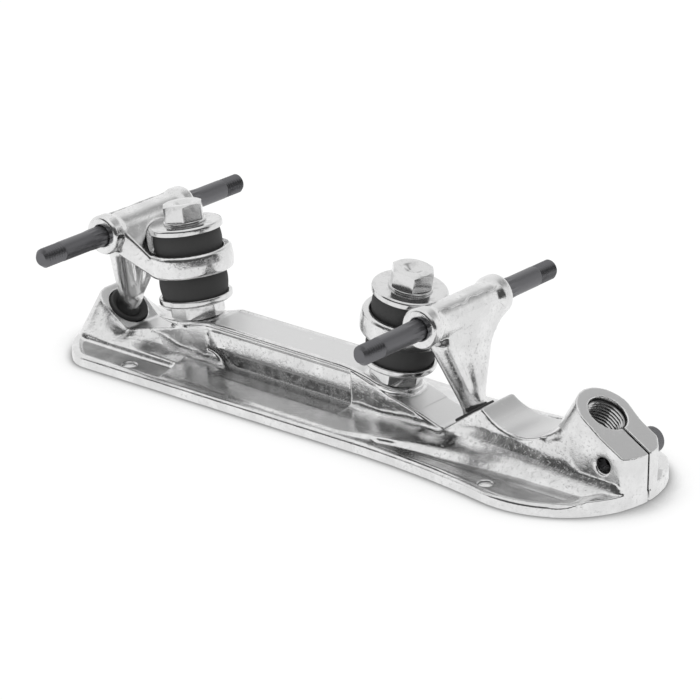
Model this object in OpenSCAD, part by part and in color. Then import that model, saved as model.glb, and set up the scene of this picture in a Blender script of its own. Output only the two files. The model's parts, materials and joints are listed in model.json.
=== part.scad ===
// Quad roller-skate plate with two sprung trucks, lying on its sole face.
// Origin: on the sole face, midway between the axles. +X points to the toe, +Z to the wheels.
// Both trucks are alike: the rear one is the front one turned half a turn about Z.

/* [Plate outline] */
// Distance between the two axles
wheelbase = 158.75; // [150:0.25:180]
// Width of the plate over its rear half
rear_w = 72.4; // [70:0.1:78]
// Width of the plate at its waist
waist_w = 68; // [66:0.5:70]
// Width of the plate over the toe
toe_w = 80; // [76:0.5:86]
// Radius of the heel end
heel_r = 42.4; // [40:0.2:46]
// Radius of the two heel corners
heel_corner_r = 12; // [8:0.5:14]
// Distance from the rear axle to the heel tip
heel_reach = 24.8; // [24.4:0.1:30]
// Distance from the front axle to the toe tip
toe_reach = 88.1; // [86:0.1:94]
// Distance from the front axle back to the waist
waist_back = 19.4; // [14:0.2:26]

/* [Flange] */
// Height of the flange at its edge
edge_h = 4.6; // [4:0.1:5.2]
// Step along the top of the flange's edge
edge_step = 0.6; // [0.3:0.1:1]
// Width of the raised border round the trays
border_w = 3.4; // [2.4:0.1:4.4]
// Depth of the shallow trays inside the border
tray_depth = 0.9; // [0.4:0.1:1.4]
// Width of the flange left behind the heel's wall
heel_border = 2; // [1.4:0.1:3]
// Height of the walls' foot above the flange
foot_rise = 1.4; // [0.8:0.1:2]
// Radius of the mounting holes
mount_hole_r = 2.75; // [2:0.05:3.2]
// Sideways spacing of the rear mounting holes
rear_hole_gap = 56.6; // [54:0.2:60]
// Sideways spacing of the front mounting holes
front_hole_gap = 62; // [58:0.2:66]
// Distance from the rear axle forward to the rear mounting holes
rear_hole_fwd = 17.4; // [12:0.2:22]
// Distance from the front axle forward to the front mounting holes
front_hole_fwd = 37.1; // [32:0.2:42]
// Distance from the rear axle forward to the end of the rear tray
rear_tray_fwd = 36.4; // [33:0.2:39]
// Distance from the front axle back to the start of the front tray
front_tray_back = 18; // [14:0.5:22]

/* [Spine] */
// Height of the flat deck
deck_z = 21.2; // [20:0.1:23]
// Width of the deck
deck_w = 22; // [20:0.2:24]
// Width of the kingpin blocks
block_w = 20; // [19:0.2:22]
// Height of the low point in front of each pivot face
valley_z = 8.2; // [7.6:0.1:9.2]
// Slope of the ramps that fall from the deck, in degrees
ramp_angle = 16.5; // [15:0.5:19]
// Height of the bead along the deck's edges
bead_h = 0.6; // [0.2:0.1:1]
// Thickness of the web under the deck
web_w = 18; // [15:0.2:20]
// Height of the web's foot
web_foot_z = 7.6; // [7:0.1:9]
// Thickness of the deck over the side pockets
deck_t = 3.4; // [3:0.1:5.5]
// Distance from each axle to the near end of the side pockets
pocket_in = 43; // [41:0.5:46]
// Level run of the side pockets' sloping rear end
pocket_slope = 9; // [5:0.5:12]
// Height of the walls' coves above the sole
cove_z = 9.2; // [8.4:0.1:11]
// How far the flange's floor rises to the coves
floor_rise = 1.5; // [0.8:0.1:2]
// Half-width of the walls' foot at the heel and behind the toe
wall_foot_half = 20.5; // [19:0.1:22]

/* [Pivots] */
// Slope of the pivot faces, in degrees
face_angle = 36; // [33:0.5:40]
// Distance from each axle outward to the low point
valley_out = 0.6; // [0:0.1:1.4]
// Level distance from the low point to the pivot cup's centre
cup_run = 8; // [7.6:0.1:9]
// Radius of the pivot boss about the cup's axis
boss_r = 10.8; // [10.2:0.1:11.6]
// Level distance from the rear pivot cup's centre to the back of its rim
rim_run = 9.7; // [9:0.1:10.4]
// Radius of the corners of the rear rim
rim_corner_r = 6; // [4:0.2:8]
// Radius of the rubber pivot cup
cup_r = 8.2; // [7.6:0.1:8.6]
// Depth of the pivot cup's pocket
cup_depth = 7.8; // [7.2:0.1:8]
// Height of the cup's rim above the pivot face
cup_proud = 1; // [0.4:0.1:1.2]
// Radius of the ball on the hanger's nose
ball_r = 4.5; // [4:0.1:4.7]
// Depth of the ball's centre below the pivot face
ball_depth = 2.1; // [1.8:0.1:2.3]

/* [Saddle and toe boss] */
// Level distance from the front low point to the ridge
ridge_run = 18.4; // [17:0.1:20]
// Radius of the hollow behind the toe boss
saddle_r = 26; // [22:0.5:30]
// Height of the hollow's lowest line
saddle_z = 15.5; // [13:0.1:17]
// Level distance from the ridge to the hollow's lowest line
saddle_run = 16.4; // [14:0.2:18]
// Lean of the toe-stop hole, in degrees
toe_lean = 30; // [26:0.5:34]
// Distance from the toe tip back to the mouth of the toe-stop hole
toe_mouth_back = 19.2; // [17.2:0.1:21]
// Height of the mouth of the toe-stop hole
toe_mouth_z = 29.8; // [28:0.1:32]
// Radius of the toe-stop boss
toe_boss_r = 12.8; // [11.5:0.1:13.5]
// Half-width of the two lugs in front of the boss
lug_half = 13.8; // [13:0.1:14.6]
// Radius of the toe-stop hole over its thread
toe_bore_r = 7.94; // [7:0.02:8.4]
// Width of the clamp's slit
slit_w = 1.2; // [0.8:0.1:2]

/* [Toe clamp screw] */
// Distance from the toe tip back to the clamp screw
clamp_back = 11.3; // [10.2:0.1:11.9]
// Height of the clamp screw
clamp_z = 15.6; // [13:0.1:17]
// Radius of the clamp screw's shank
clamp_r = 3; // [2.5:0.05:3.2]
// Radius of the clamp screw's head
clamp_head_r = 5; // [4.4:0.1:5.4]
// Height of the clamp screw's head
clamp_head_h = 5.4; // [5:0.1:7]
// Width of the socket in the clamp screw's head
clamp_socket_w = 5; // [4:0.1:6]

/* [Axles] */
// Radius of the axles
axle_r = 3.97; // [3.9:0.01:4]
// Length of the axles
axle_len = 116.8; // [108:0.2:126]
// Height of the axles
axle_z = 52.4; // [51:0.1:54]
// Length of the thread at each end of an axle
axle_thread_len = 10.8; // [8:0.1:13]
// Depth of the axle's thread
axle_thread_d = 0.28; // [0.1:0.02:0.5]
// How far the splined seat in the middle of an axle stands proud of its ends
axle_seat_d = 0.2; // [0.16:0.02:0.3]
// Length of the splined seat that shows outside the hanger
axle_seat_out = 1.2; // [0.6:0.1:3]

/* [Hangers] */
// Width of a hanger over its axle tube
hanger_w = 48.6; // [46:0.2:52]
// Radius of the axle tube
tube_r = 6.9; // [6.6:0.1:7.2]
// Radius of the collars at the tube's ends
collar_r = 8; // [7.4:0.1:8.6]
// Length of the collars
collar_len = 5; // [3:0.1:7]
// Half-width that the leg's edges sweep in to
leg_neck_half = 3.7; // [3.4:0.1:4.2]
// How far the leg's edges spread for each unit of height
leg_spread = 0.46; // [0.4:0.01:0.5]
// Length of the straight neck above the ball
neck_run = 9; // [8:0.2:11]
// Radius of the ribs along the leg's edges
rib_r = 3.2; // [2.8:0.1:3.4]
// Share by which the ribs taper from top to bottom
rib_taper = 0.5; // [0.2:0.05:0.6]
// Depth of the groove between the ribs
leg_groove = 2.8; // [1.6:0.1:3.4]
// Distance from the kingpin to where the ring's arms begin
arm_start = 6; // [2:0.5:10]
// Outer radius of the cushion ring
ring_r = 17.3; // [16.6:0.1:18]
// Inner radius of the cushion ring
ring_bore_r = 13.7; // [13.6:0.05:14]
// Height of the cushion ring
ring_h = 9.6; // [8.8:0.1:11]
// Height of the ring's top above the middle of its seat
ring_up = 5.5; // [5:0.1:6]
// Thickness of the seat inside the cushion ring
seat_t = 4; // [3:0.1:5]
// Radius of the kingpin's hole in the seat
seat_hole_r = 7.5; // [7:0.1:8.4]

/* [Kingpins and cushions] */
// Lean of the kingpins, outward at the top, in degrees
kingpin_tilt = 10; // [8:0.5:12]
// Distance from each axle inward to the kingpin at its lock nut
kingpin_in = 29.3; // [28.6:0.1:30]
// Height of the lock nut's seat
nut_seat_z = 19; // [18.6:0.1:19.6]
// Radius of the round pad under the lock nut
pad_r = 11; // [10.6:0.1:11.4]
// Radius of the kingpin
kingpin_r = 4.76; // [4.4:0.02:5]
// Depth of the kingpin in the plate
kingpin_depth = 15.5; // [12:0.5:16]
// Width across the flats of the kingpin's head
head_flats = 14.3; // [13:0.1:16]
// Turn of the kingpin's head, in degrees
head_turn = 11; // [0:1:59]
// Height of the kingpin's head
head_h = 6.2; // [5:0.1:8]
// Thickness of the washer under the head
washer_t = 1.1; // [0.6:0.1:1.6]
// Radius of the washer under the head
washer_r = 8.6; // [8.4:0.1:10]
// Width across the flats of the lock nut
nut_flats = 19; // [17:0.1:20]
// Turn of the lock nut, in degrees
nut_turn = 51; // [0:1:59]
// Height of the lock nut
nut_h = 6.4; // [5.8:0.1:7]
// Radius of the cupped retainers
retainer_r = 14.7; // [14.5:0.1:15]
// Thickness of the retainers' sheet
retainer_t = 1.5; // [1:0.1:1.8]
// Height of the retainers over their rolled rim
retainer_h = 2.8; // [2.2:0.1:3.2]
// Length of the lower cushion
lower_cushion_h = 12.4; // [12:0.1:13]
// Length of the upper cushion
upper_cushion_h = 12.2; // [11.8:0.1:13]
// Radius of the cushions at their ends
cushion_r = 12.9; // [12.4:0.05:13]
// How far the cushions' sides swell
cushion_swell = 0.8; // [0.2:0.1:1]

/* [Clearances] */
// Radial clearance of shafts that turn in their holes
turn_gap = 0.06; // [0.02:0.01:0.1]
// Gap between the ball and its rubber cup
ball_gap = 0.2; // [0.1:0.05:0.3]
// Gap between soft pieces and what holds them
soft_gap = 0.1; // [0.05:0.05:0.2]

/* [Hidden] */
$fn = 64;
// Overlap that lets cuts run past a face
past = 5;
// Overlap of shapes that would otherwise meet along a line
lap = 0.02;
// Colours
CAST = "gainsboro";
ZINC = "silver";
DARK_STEEL = "dimgray";
RUBBER = "#2b2b2b";

// Places along the plate
front_x = wheelbase / 2;
rear_x = -wheelbase / 2;
toe_r = toe_w / 2;
toe_cx = front_x + toe_reach - toe_r;
heel_cx = rear_x - heel_reach + heel_r;
waist_x = front_x - waist_back;
front_valley_x = front_x + valley_out;
rear_valley_x = rear_x - valley_out;
ramp_run = (deck_z - valley_z) / tan(ramp_angle);
ridge_x = front_valley_x + ridge_run;
ridge_z = valley_z + ridge_run * tan(face_angle);
saddle_x = ridge_x + saddle_run;
tip_x = front_x + toe_reach;
toe_mouth_x = tip_x - toe_mouth_back;
// The toe boss leans, so its foot lies behind its mouth
toe_foot_x = toe_mouth_x - toe_mouth_z * tan(toe_lean);
saddle_end_x = saddle_x + 8;

// Pivot cup and ball, in a truck's own frame: origin under the axle on the sole, +X outward
cup_u = valley_out + cup_run;
cup_z = valley_z + cup_run * tan(face_angle);
ball_u = cup_u + ball_depth * sin(face_angle);
ball_z = cup_z - ball_depth * cos(face_angle);
rear_rim_x = rear_x - cup_u - rim_run;
rear_rim_z = cup_z + rim_run * tan(face_angle);
rim_corner_x = rear_rim_x + rim_corner_r;

// Heights along a kingpin, counted from the lock nut's seat
lower_retainer_at = nut_h;
lower_cushion_at = lower_retainer_at + retainer_t + soft_gap;
seat_at = lower_cushion_at + lower_cushion_h + soft_gap;
ring_at = seat_at + seat_t / 2;
upper_cushion_at = seat_at + seat_t + soft_gap;
upper_retainer_at = upper_cushion_at + upper_cushion_h + soft_gap;
washer_at = upper_retainer_at + retainer_t;
head_at = washer_at + washer_t;

// The leg bends from the axle, straight down, to the pivot cup's axis: ends and bend as [outward, up]
leg_top = [0, axle_z];
leg_foot = [ball_u, ball_z];
leg_bend = leg_foot + neck_run * [-sin(face_angle), cos(face_angle)];
// The leg is narrowest just above the ball
leg_waist_rise = 2.7;
leg_waist_z = ball_z + leg_waist_rise;
// Shares of the bend at which the ribs start and stop
rib_from = 0.05;
rib_to = 0.76;

// Feet of the walls, and how far the middle ones stand over the flange's edge
flange_foot_rise = 0.3;
foot_z = edge_h + foot_rise;
flange_foot_half = waist_w / 2 - border_w;
flange_foot_z = edge_h + flange_foot_rise;
// Half-widths of the walls' foot at the front axle, the ridge, the saddle's end and the toe
front_foot_half = wall_foot_half + 2.5;
ridge_foot_half = wall_foot_half + 1;
saddle_foot_half = wall_foot_half - 2;
tip_foot_half = wall_foot_half - 3;
// The heel's wall starts a little inside its foot line, sunk in the flange
heel_foot_r = heel_r - heel_border;
heel_sink = 0.4;
heel_start_x = heel_cx - heel_foot_r + heel_sink;
heel_mid_x = (heel_start_x + rear_rim_x) / 2;
// Ends of the trays, the rise at the end of the rear one and the sweep at the start of the front one
tray_end_rear_x = rear_x + rear_tray_fwd;
tray_end_front_x = front_x - front_tray_back;
tray_rise = 2;
tray_sweep_x = tray_end_front_x - 16;
// How far below the top the walls start their sweep: at least and at the ridge
least_drop = 1;
ridge_drop = 3;
// Shares of the way to the walls' foot that the coves take up: at the ends, behind the waist and at the spine
cove_wide = 0.9;
cove_step = 0.3;
cove_narrow = 0.2;
// Where the cove starts to flare toward the toe and where it is wide again
cove_flare_x = front_x - 13;
cove_end_x = front_x + 7;
// How far the casting's top stays inside the toe boss, at its sides and at the tip
boss_skin = 0.3;
tip_drop = 2;
// Bead along the deck: distances in from the edge of its foot and its crest, its side and its run-out
bead_foot = 1.8;
bead_crest = [1.3, 0.5];
bead_side = 0.4;
bead_run = 4;
// Where the bead starts and stops, full at the kingpins
bead_rear_x = rear_x + kingpin_in - bead_run;
bead_front_x = front_x - kingpin_in + bead_run;

// Splined seat of the axles
axle_seat_r = axle_r + axle_seat_d;

// Frames of the sub-parts

// A truck's frame at the front axle
module at_front() {
    translate([front_x, 0, 0]) children();
}
// A truck's frame at the rear axle
module at_rear() {
    translate([rear_x, 0, 0]) rotate([0, 0, 180]) children();
}
// A kingpin's axis, with z = 0 on the lock nut's seat, in a truck's frame
module on_kingpin(height = 0) {
    translate([-kingpin_in, 0, nut_seat_z]) rotate([0, kingpin_tilt, 0])
        translate([0, 0, height]) children();
}
// A pivot cup's axis, with z = 0 on the pivot face, in a truck's frame
module on_pivot_face() {
    translate([cup_u, 0, cup_z]) rotate([0, -face_angle, 0]) children();
}
// The toe-stop hole's axis, with z = 0 at its mouth
module on_toe_hole() {
    translate([toe_mouth_x, 0, toe_mouth_z]) rotate([0, toe_lean, 0]) children();
}
// The clamp screw's axis, with z pointing to its head at +Y
module on_clamp() {
    translate([tip_x - clamp_back, 0, clamp_z]) rotate([-90, 0, 0]) children();
}

// Plan of the plate, drawn in by a distance: heel arc, two corners, taper, waist arcs and toe circle
module plate_outline(inset = 0) {
    side = rear_w / 2 - inset;
    waist = waist_w / 2 - inset;
    corner = heel_corner_r + lap - inset;
    heel = heel_r - inset;
    toe = toe_r - inset;
    corner_y = rear_w / 2 - heel_corner_r;
    corner_dx = sqrt(pow(heel_r - heel_corner_r, 2) - pow(corner_y, 2));
    corner_x = heel_cx - corner_dx;
    reach = heel / (heel_r - heel_corner_r);
    arc_r = (pow(toe_cx - waist_x, 2) + pow(waist_w / 2, 2) - pow(toe_r, 2)) / (toe_w - waist_w);
    arc_y = waist_w / 2 + arc_r;
    meet_x = waist_x + (toe_cx - waist_x) * arc_r / (arc_r + toe_r);
    meet_lap = 1;
    translate([toe_cx, 0]) circle(toe);
    difference() {
        translate([waist_x, -toe_r]) square([meet_x - waist_x + meet_lap, toe_w]);
        for (s = [-1, 1]) translate([waist_x, s * arc_y]) circle(arc_r + inset, $fn = 360);
    }
    polygon([
        [waist_x + lap, waist], [corner_x, side], [corner_x, -side], [waist_x + lap, -waist]]);
    for (s = [-1, 1]) translate([corner_x, s * corner_y]) circle(corner);
    intersection() {
        translate([heel_cx, 0]) circle(heel, $fn = 128);
        polygon([
            [heel_cx, 0],
            [heel_cx - 2 * corner_dx * reach, 2 * corner_y * reach],
            [heel_cx - 2 * corner_dx * reach, -2 * corner_y * reach]]);
    }
    polygon([
        [heel_cx, 0],
        [heel_cx - corner_dx * reach, corner_y * reach],
        [corner_x, corner_y],
        [corner_x, -corner_y],
        [heel_cx - corner_dx * reach, -corner_y * reach]]);
}

// Profiles along the casting

// Height of the top of the spine at x
function top_z(x) = lookup(x, [
    [heel_start_x, edge_h - heel_sink],
    [rear_rim_x, rear_rim_z],
    [rear_valley_x, valley_z],
    [rear_valley_x + ramp_run, deck_z],
    [front_valley_x - ramp_run, deck_z],
    [front_valley_x, valley_z],
    [ridge_x, ridge_z],
    [toe_foot_x + toe_boss_r, ridge_z],
    [tip_x, toe_mouth_z - (tip_x - toe_mouth_x) * tan(toe_lean) - tip_drop]]);

// Half-width of the top of the spine at x, with rounded corners on the rear rim
function top_half(x) = x < rim_corner_x
    ? boss_r - rim_corner_r + sqrt(max(0, pow(rim_corner_r, 2) - pow(x - rim_corner_x, 2)))
    : lookup(x, [
        [rear_x - cup_u, boss_r],
        [rear_valley_x, block_w / 2],
        [rear_x + kingpin_in, block_w / 2],
        [rear_x + pocket_in, deck_w / 2],
        [front_x - pocket_in, deck_w / 2],
        [front_x - kingpin_in, block_w / 2],
        [front_valley_x, block_w / 2],
        [ridge_x, block_w / 2],
        [toe_foot_x, toe_boss_r - boss_skin],
        [tip_x, toe_boss_r - boss_skin]]);

// Half-width of the walls' foot at x
function foot_half(x) = x < heel_cx - heel_foot_r / 2
    ? min(wall_foot_half, sqrt(pow(heel_foot_r, 2) - pow(x - heel_cx, 2)))
    : lookup(x, [
        [tray_end_rear_x - tray_rise, wall_foot_half],
        [tray_end_rear_x, flange_foot_half],
        [tray_sweep_x, flange_foot_half],
        [front_x, front_foot_half],
        [ridge_x, ridge_foot_half],
        [saddle_end_x, saddle_foot_half],
        [tip_x, tip_foot_half]]);

// Height of the walls' foot at x: the heel's first section lies inside the flange
function foot_h(x) = lookup(x, [
    [heel_start_x, edge_h / 2 + flange_foot_rise],
    [heel_mid_x, foot_z],
    [tray_end_rear_x - tray_rise, foot_z],
    [tray_end_rear_x, flange_foot_z],
    [tray_sweep_x, flange_foot_z],
    [front_x, foot_z]]);

// Height at x where the wall starts its sweep down to the foot
function sweep_top(x) = min(top_z(x) - least_drop, lookup(x, [
    [rear_valley_x, deck_z],
    [rear_x + kingpin_in, cove_z],
    [cove_flare_x, cove_z],
    [ridge_x, ridge_z - ridge_drop]]));

// Share of the way from the wall to its foot that the cove takes up at x
function cove_share(x) = lookup(x, [
    [tray_end_rear_x - tray_rise, cove_wide],
    [tray_end_rear_x, cove_step],
    [rear_x + pocket_in, cove_narrow],
    [cove_flare_x, cove_narrow],
    [cove_end_x, cove_wide]]);

// How hollow the walls are at x: 0 for straight walls, as at the heel, 1 for a quarter round
function hollow(x) = lookup(x, [
    [rear_valley_x, 0],
    [rear_x + kingpin_in, 1],
    [tip_x, 1],
    [tip_x + past, 0]]);

// Height of the bead along the deck's edges at x
function bead(x) = lookup(x, [
    [bead_rear_x, 0],
    [rear_x + kingpin_in, bead_h],
    [front_x - kingpin_in, bead_h],
    [bead_front_x, 0]]);

// Half of the casting's section at x: the top, the wall, the cove, the floor and the foot in the flange
function half_section(x) =
    let (w = top_half(x), z = top_z(x), b = bead(x), s = sweep_top(x), f = foot_half(x), h = foot_h(x))
    let (in = min(1, w / 2), c = hollow(x), left = 1 - cove_share(x))
    let (k = f - (f - w) * left, g = h + left * (c * floor_rise + (1 - c) * (s - h)))
    concat(
        [[w - bead_foot * in, z], [w - bead_crest[0] * in, z + b], [w - bead_crest[1] * in, z + b]],
        [[w, z + b - bead_side]],
        [for (a = [0:22.5:90])
            let (out = c * (1 - cos(a)) + (1 - c) * a / 90, up = c * (1 - sin(a)) + (1 - c) * (1 - a / 90))
            [w + (k - w) * out, g + (s - g) * up]],
        [[f, h], [f, edge_h / 2]]);

// Whole section at x as points in space, from the foot at -Y over the top to the foot at +Y
function section(x) =
    let (half = half_section(x), n = len(half))
    concat(
        [for (i = [n - 1:-1:0]) [x, -half[i][0], half[i][1]]],
        [for (i = [0:n - 1]) [x, half[i][0], half[i][1]]]);

// Stations of the loft: the round of the rear boss, the breaks in the profile and even steps between
stations = concat(
    [heel_start_x, heel_mid_x],
    [for (a = [90:-22.5:0]) rim_corner_x - rim_corner_r * sin(a)],
    [rear_x - cup_u],
    [rear_valley_x, (rear_valley_x + bead_rear_x) / 2, bead_rear_x, rear_x + kingpin_in],
    [tray_end_rear_x - tray_rise, tray_end_rear_x, rear_x + pocket_in],
    [rear_valley_x + ramp_run, front_valley_x - ramp_run],
    [front_x - pocket_in, tray_sweep_x, front_x - kingpin_in, bead_front_x, cove_flare_x],
    [(cove_flare_x + front_valley_x) / 2, front_valley_x, cove_end_x],
    [front_valley_x + ridge_run / 2, ridge_x],
    [for (i = [1:4]) ridge_x + (saddle_end_x - ridge_x) * i / 4],
    [toe_foot_x, toe_foot_x + toe_boss_r, tip_x, tip_x + past]);

// Solid through a row of closed rings that have the same number of points
module loft(rings) {
    n = len(rings[0]);
    last = len(rings) - 1;
    polyhedron(
        points = [for (ring = rings) for (p = ring) p],
        faces = concat(
            [[for (j = [n - 1:-1:0]) j]],
            [for (i = [0:last - 1]) for (j = [0:n - 1])
                let (k = (j + 1) % n) [i * n + j, i * n + k, (i + 1) * n + k, (i + 1) * n + j]],
            [[for (j = [0:n - 1]) last * n + j]]));
}

// Casting of the spine, walls and sloping flange: sections joined along the plate
module spine() {
    loft([for (x = stations) section(x)]);
}

// Flange with a stepped edge and shallow trays at the heel and the toe
module flange() {
    difference() {
        union() {
            linear_extrude(edge_h - edge_step) plate_outline();
            linear_extrude(edge_h) plate_outline(edge_step);
        }
        translate([0, 0, edge_h - tray_depth]) linear_extrude(past) intersection() {
            plate_outline(border_w);
            union() {
                translate([heel_cx - heel_r, -rear_w / 2])
                    square([tray_end_rear_x - heel_cx + heel_r, rear_w]);
                translate([tray_end_front_x, -toe_r])
                    square([tip_x - tray_end_front_x, toe_w]);
            }
        }
    }
}

// One side pocket under the deck, with an upright front end and a sloping rear end
module side_pocket() {
    half = wheelbase / 2 - pocket_in;
    roof = deck_z - deck_t;
    translate([0, wall_foot_half, 0]) rotate([90, 0, 0]) linear_extrude(wall_foot_half - web_w / 2)
        polygon([[-half, roof], [pocket_slope - half, web_foot_z], [half, web_foot_z], [half, roof]]);
}

// Boss round the toe-stop hole with the two lugs of the clamp in front of it
module toe_boss() {
    deep = 2 * toe_mouth_z;
    flare = toe_bore_r;
    intersection() {
        on_toe_hole() translate([0, 0, -deep]) {
            cylinder(r = toe_boss_r, h = deep);
            linear_extrude(deep) polygon([
                [0, -toe_boss_r], [flare, -lug_half], [toe_reach, -lug_half],
                [toe_reach, lug_half], [flare, lug_half], [0, toe_boss_r]]);
        }
        linear_extrude(deep) plate_outline(edge_step / 2);
    }
}

// Everything that is bored, slotted or spot-faced in the plate
module plate_cuts() {
    deep = 3 * toe_mouth_z;
    head_room = 1;
    for (s = [-1, 1]) translate([0, s * rear_hole_gap / 2, -past])
        translate([rear_x + rear_hole_fwd, 0, 0]) cylinder(r = mount_hole_r, h = 3 * past);
    for (s = [-1, 1]) translate([0, s * front_hole_gap / 2, -past])
        translate([front_x + front_hole_fwd, 0, 0]) cylinder(r = mount_hole_r, h = 3 * past);
    at_front() truck_cuts();
    at_rear() truck_cuts();
    on_toe_hole() translate([0, 0, -deep / 2]) cylinder(r = toe_bore_r, h = deep);
    on_toe_hole() translate([0, -slit_w / 2, -deep / 2]) cube([toe_reach, slit_w, deep]);
    on_clamp() {
        translate([0, 0, -toe_r]) cylinder(r = clamp_r + turn_gap, h = toe_w);
        cylinder(r = clamp_r + 5 * turn_gap, h = toe_r);
        translate([0, 0, lug_half]) cylinder(r = clamp_head_r + head_room, h = toe_r);
    }
}

// The kingpin's hole and the pivot cup's pocket of one truck
module truck_cuts() {
    on_kingpin(-2 * nut_seat_z) cylinder(r = kingpin_r + turn_gap, h = 3 * nut_seat_z);
    on_pivot_face() pivot_pocket(0);
}

// Room for a pivot cup: a round hole with a coned floor
module pivot_pocket(gap) {
    cone_h = 2.2;
    wall_r = cup_r - gap;
    translate([0, 0, cone_h - cup_depth]) cylinder(r = wall_r, h = cup_depth - cone_h + past);
    translate([0, 0, gap - cup_depth]) cylinder(r1 = wall_r - cone_h, r2 = wall_r, h = cone_h - gap);
}

module baseplate() {
    color(CAST) difference() {
        union() {
            flange();
            difference() {
                intersection() {
                    spine();
                    linear_extrude(3 * toe_mouth_z) plate_outline(edge_step / 2);
                }
                translate([saddle_x, 0, saddle_z + saddle_r]) rotate([90, 0, 0])
                    cylinder(r = saddle_r, h = toe_w, center = true, $fn = 128);
                side_pocket();
                mirror([0, 1, 0]) side_pocket();
            }
            toe_boss();
            at_front() on_kingpin(-nut_seat_z / 2) cylinder(r = pad_r, h = nut_seat_z / 2);
            at_rear() on_kingpin(-nut_seat_z / 2) cylinder(r = pad_r, h = nut_seat_z / 2);
        }
        plate_cuts();
    }
}

// Cap screw that draws the two lugs together, with a hexagon socket
module toe_clamp_bolt() {
    tip = 1.2;
    edge = 0.6;
    set_back = 1.5;
    shank = lug_half - set_back;
    color(DARK_STEEL) on_clamp() difference() {
        union() {
            translate([0, 0, tip - shank]) cylinder(r = clamp_r, h = shank + lug_half - tip);
            translate([0, 0, -shank]) cylinder(r1 = clamp_r - tip / 2, r2 = clamp_r, h = tip);
            translate([0, 0, lug_half]) cylinder(r = clamp_head_r, h = clamp_head_h - edge);
            translate([0, 0, lug_half + clamp_head_h - edge])
                cylinder(r1 = clamp_head_r, r2 = clamp_head_r - edge, h = edge);
        }
        translate([0, 0, lug_half + clamp_head_h / 2])
            cylinder(r = clamp_socket_w / 2 / cos(30), h = clamp_head_h, $fn = 6);
    }
}

// Axle tube with a collar at each end, along Y
module axle_tube() {
    half = hanger_w / 2;
    flare = 3;
    edge = 0.8;
    translate([0, 0, axle_z]) rotate([90, 0, 0]) rotate_extrude() polygon([
        [0, -half], [collar_r - edge, -half], [collar_r, edge - half], [collar_r, collar_len - half],
        [tube_r, collar_len + flare - half], [tube_r, half - collar_len - flare],
        [collar_r, half - collar_len], [collar_r, half - edge], [collar_r - edge, half], [0, half]]);
}

// Blank of the ring round the cushions, with rounded outer edges
module ring_blank() {
    half = ring_h / 2;
    edge = 1.1;
    on_kingpin(ring_at + ring_up - half) rotate_extrude() polygon([
        [0, -half], [ring_r - edge, -half], [ring_r - edge / 4, edge - half], [ring_r, 0],
        [ring_r - edge / 4, half - edge], [ring_r - edge, half], [0, half]]);
}

// Arms that join the tube to the outer side of the ring
module arms() {
    skin = 0.7;
    arm_half = hanger_w / 2 - collar_len;
    hull() {
        translate([0, 0, axle_z]) rotate([90, 0, 0])
            cylinder(r = tube_r - skin, h = 2 * arm_half, center = true, $fn = 32);
        on_kingpin(ring_at + ring_up - ring_h + skin) linear_extrude(ring_h - 2 * skin) intersection() {
            circle(ring_r - skin, $fn = 48);
            translate([ring_r / 2 + arm_start, 0]) square([ring_r, 3 * ring_r], center = true);
        }
    }
}

// Hollows of the ring: a recess for each cushion, room for the upper retainer and the kingpin's hole
module ring_hollows() {
    rim_room = 0.4;
    side_room = 1;
    on_kingpin(ring_at + seat_t / 2) cylinder(r = ring_bore_r, h = axle_z);
    on_kingpin(ring_at + ring_up + rim_room) cylinder(r = retainer_r + side_room, h = axle_z);
    on_kingpin(ring_at - seat_t / 2 - axle_z) cylinder(r = ring_bore_r, h = axle_z);
    on_kingpin(0) cylinder(r = seat_hole_r, h = axle_z);
}

// Middle of the leg as [outward, up], at a share t of its bend
function leg_at(t) = pow(1 - t, 2) * leg_top + 2 * t * (1 - t) * leg_bend + t * t * leg_foot;

// Half-width of the leg at a height: straight edges that curve in to the waist
function leg_half(z) = norm([leg_neck_half, leg_spread * (z - leg_waist_z)]);

// Half of the leg's section: a flat outer face, a round rib at the edge and a groove on the inner side.
// The rib's centre and its seam with the outer face keep off the middle, and the groove's floor takes a
// share of the way to it. The rib turns from the outer face through an angle that grows to its full wrap
rib_least = 0.6;
rib_seam = 0.3;
groove_share = 0.55;
rib_flat = 64;
rib_wrap = 160;
function half_leg_section(half, depth, r, wrap) =
    let (y = max(rib_least, half - r), groove = min(depth, y / 2))
    let (from = acos(max(cos(wrap), (rib_seam - y) / r)))
    concat(
        [for (i = [0:9]) let (a = from - (from + 90) * i / 9) [r * sin(a), y + r * cos(a)]],
        [[groove - r, y * groove_share]]);

// Whole level section of the leg as points in space, once round, at a share of its ribs' length:
// the groove and the wrap run out at both ends, and the ribs taper downward
function leg_section(share) =
    let (mid = leg_at(rib_from + (rib_to - rib_from) * share), full = sqrt(sin(180 * share)))
    let (r = rib_r * (1 + rib_taper * (0.5 - share)), wrap = rib_flat + (rib_wrap - rib_flat) * full)
    let (half = half_leg_section(leg_half(mid[1]), leg_groove * full, r, wrap), n = len(half))
    concat(
        [for (p = half) [mid[0] + p[0], p[1], mid[1]]],
        [for (i = [n - 1:-1:0]) [mid[0] + half[i][0], -half[i][1], mid[1]]]);

// Leg from the tube to the pivot: a loft with two ribs and a groove, then a neck and the ball
module leg() {
    steps = 12;
    neck_in = 0.3;
    loft([for (i = [0:steps]) leg_section(i / steps)]);
    on_pivot_face() translate([0, 0, -ball_depth]) {
        cylinder(r1 = ball_r - neck_in, r2 = rib_r, h = neck_run);
        sphere(ball_r);
    }
}

module hanger() {
    color(CAST) difference() {
        union() {
            axle_tube();
            arms();
            ring_blank();
            leg();
        }
        ring_hollows();
        translate([0, 0, axle_z]) rotate([90, 0, 0])
            cylinder(r = axle_seat_r + turn_gap / 3, h = axle_len, center = true);
    }
}

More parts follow.
